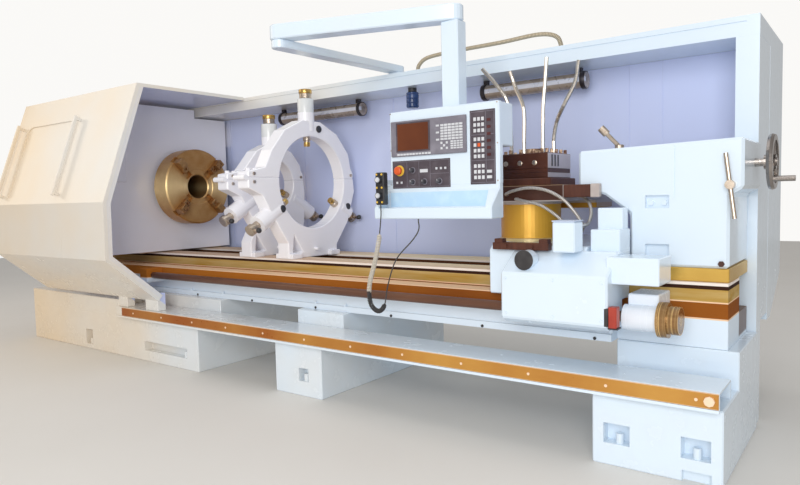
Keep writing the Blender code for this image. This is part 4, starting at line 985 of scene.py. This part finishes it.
def floor_and_light():
    """Pale floor and soft studio lamps. The backdrop is white to the camera and through glass."""
    mesh = bpy.data.meshes.new("floor")
    corners = [(x * 14.0, y * 14.0, 0) for x, y in ((-1, -1), (1, -1), (1, 1), (-1, 1))]
    mesh.from_pydata(corners, [], [(0, 1, 2, 3)])
    floor = bpy.data.objects.new("floor", mesh)
    bpy.context.scene.collection.objects.link(floor)
    stone = Finish("studio_floor", Roughness=0.6)
    cloud = stone.noise(0.8, 3)
    stone.feed("Base Color", stone.mix(cloud, (0.76, 0.74, 0.70), (0.82, 0.80, 0.77)))
    mesh.materials.append(stone.material)
    world = bpy.data.worlds.new("studio")
    bpy.context.scene.world = world
    world.use_nodes = True
    nodes, links = world.node_tree.nodes, world.node_tree.links
    nodes.clear()
    path = nodes.new("ShaderNodeLightPath")
    seen = nodes.new("ShaderNodeMath")
    seen.operation = "MAXIMUM"
    links.new(path.outputs["Is Camera Ray"], seen.inputs[0])
    links.new(path.outputs["Is Transmission Ray"], seen.inputs[1])
    soft, white = nodes.new("ShaderNodeBackground"), nodes.new("ShaderNodeBackground")
    soft.inputs[0].default_value, soft.inputs[1].default_value = (0.97, 0.95, 0.93, 1), 0.50
    white.inputs[0].default_value, white.inputs[1].default_value = (0.96, 0.95, 0.93, 1), 1.0
    blend, out = nodes.new("ShaderNodeMixShader"), nodes.new("ShaderNodeOutputWorld")
    links.new(seen.outputs[0], blend.inputs[0])
    links.new(soft.outputs[0], blend.inputs[1])
    links.new(white.outputs[0], blend.inputs[2])
    links.new(blend.outputs[0], out.inputs[0])
    aim_at = Matrix.Translation((0, 0, 1.0)).translation
    for name, place, power, side, colour in (
            ("key_light", (3.4, -6.4, 2.6), 270, 4.0, (1.0, 0.98, 0.96)),
            ("left_light", (-6.0, -3.5, 4.0), 60, 4.0, (1.0, 0.84, 0.64)),
            ("top_light", (0.0, 0.0, 6.5), 85, 6.0, (0.96, 0.98, 1.0))):
        lamp = bpy.data.lights.new(name, "AREA")
        lamp.energy, lamp.size, lamp.color = power, side, colour
        item = bpy.data.objects.new(name, lamp)
        item.location = place
        turn = (aim_at - item.location).to_track_quat("-Z", "Y")
        item.rotation_mode, item.rotation_quaternion = "QUATERNION", turn
        bpy.context.scene.collection.objects.link(item)


def photo_camera():
    """The camera at the photograph's viewing angle: turned left, tipped a little down and rolled."""
    place = (2.886, -3.482, 1.199)
    yaw, pitch, roll = math.radians(36.56), math.radians(-3.87), math.radians(-1.34)
    ahead = np.array([-math.sin(yaw) * math.cos(pitch), math.cos(yaw) * math.cos(pitch), math.sin(pitch)])
    right = np.array([math.cos(yaw), math.sin(yaw), 0.0])
    up = np.cross(right, ahead)
    turned_right = right * math.cos(roll) + up * math.sin(roll)
    turned_up = up * math.cos(roll) - right * math.sin(roll)
    lens = bpy.data.cameras.new("photo_camera")
    lens.sensor_width, lens.lens = 36.0, 29.44
    item = bpy.data.objects.new("photo_camera", lens)
    matrix = np.eye(4)
    matrix[:3, :3] = np.stack([turned_right, turned_up, -ahead], -1)
    matrix[:3, 3] = place
    item.matrix_world = Matrix(matrix.tolist())
    bpy.context.scene.collection.objects.link(item)
    bpy.context.scene.camera = item


photo_camera()
hoses()
pendant_cord()
screen_and_keys()
right_key_panel()
lower_panel()
console_extras()
steady_fittings()
turret_fittings()
lamp_on_guard()
lamp_housings()
carriage_fittings()
rail_and_bed_fittings()
tailstock_fittings()
floor_and_light()
bpy.context.scene.view_settings.view_transform = "Standard"
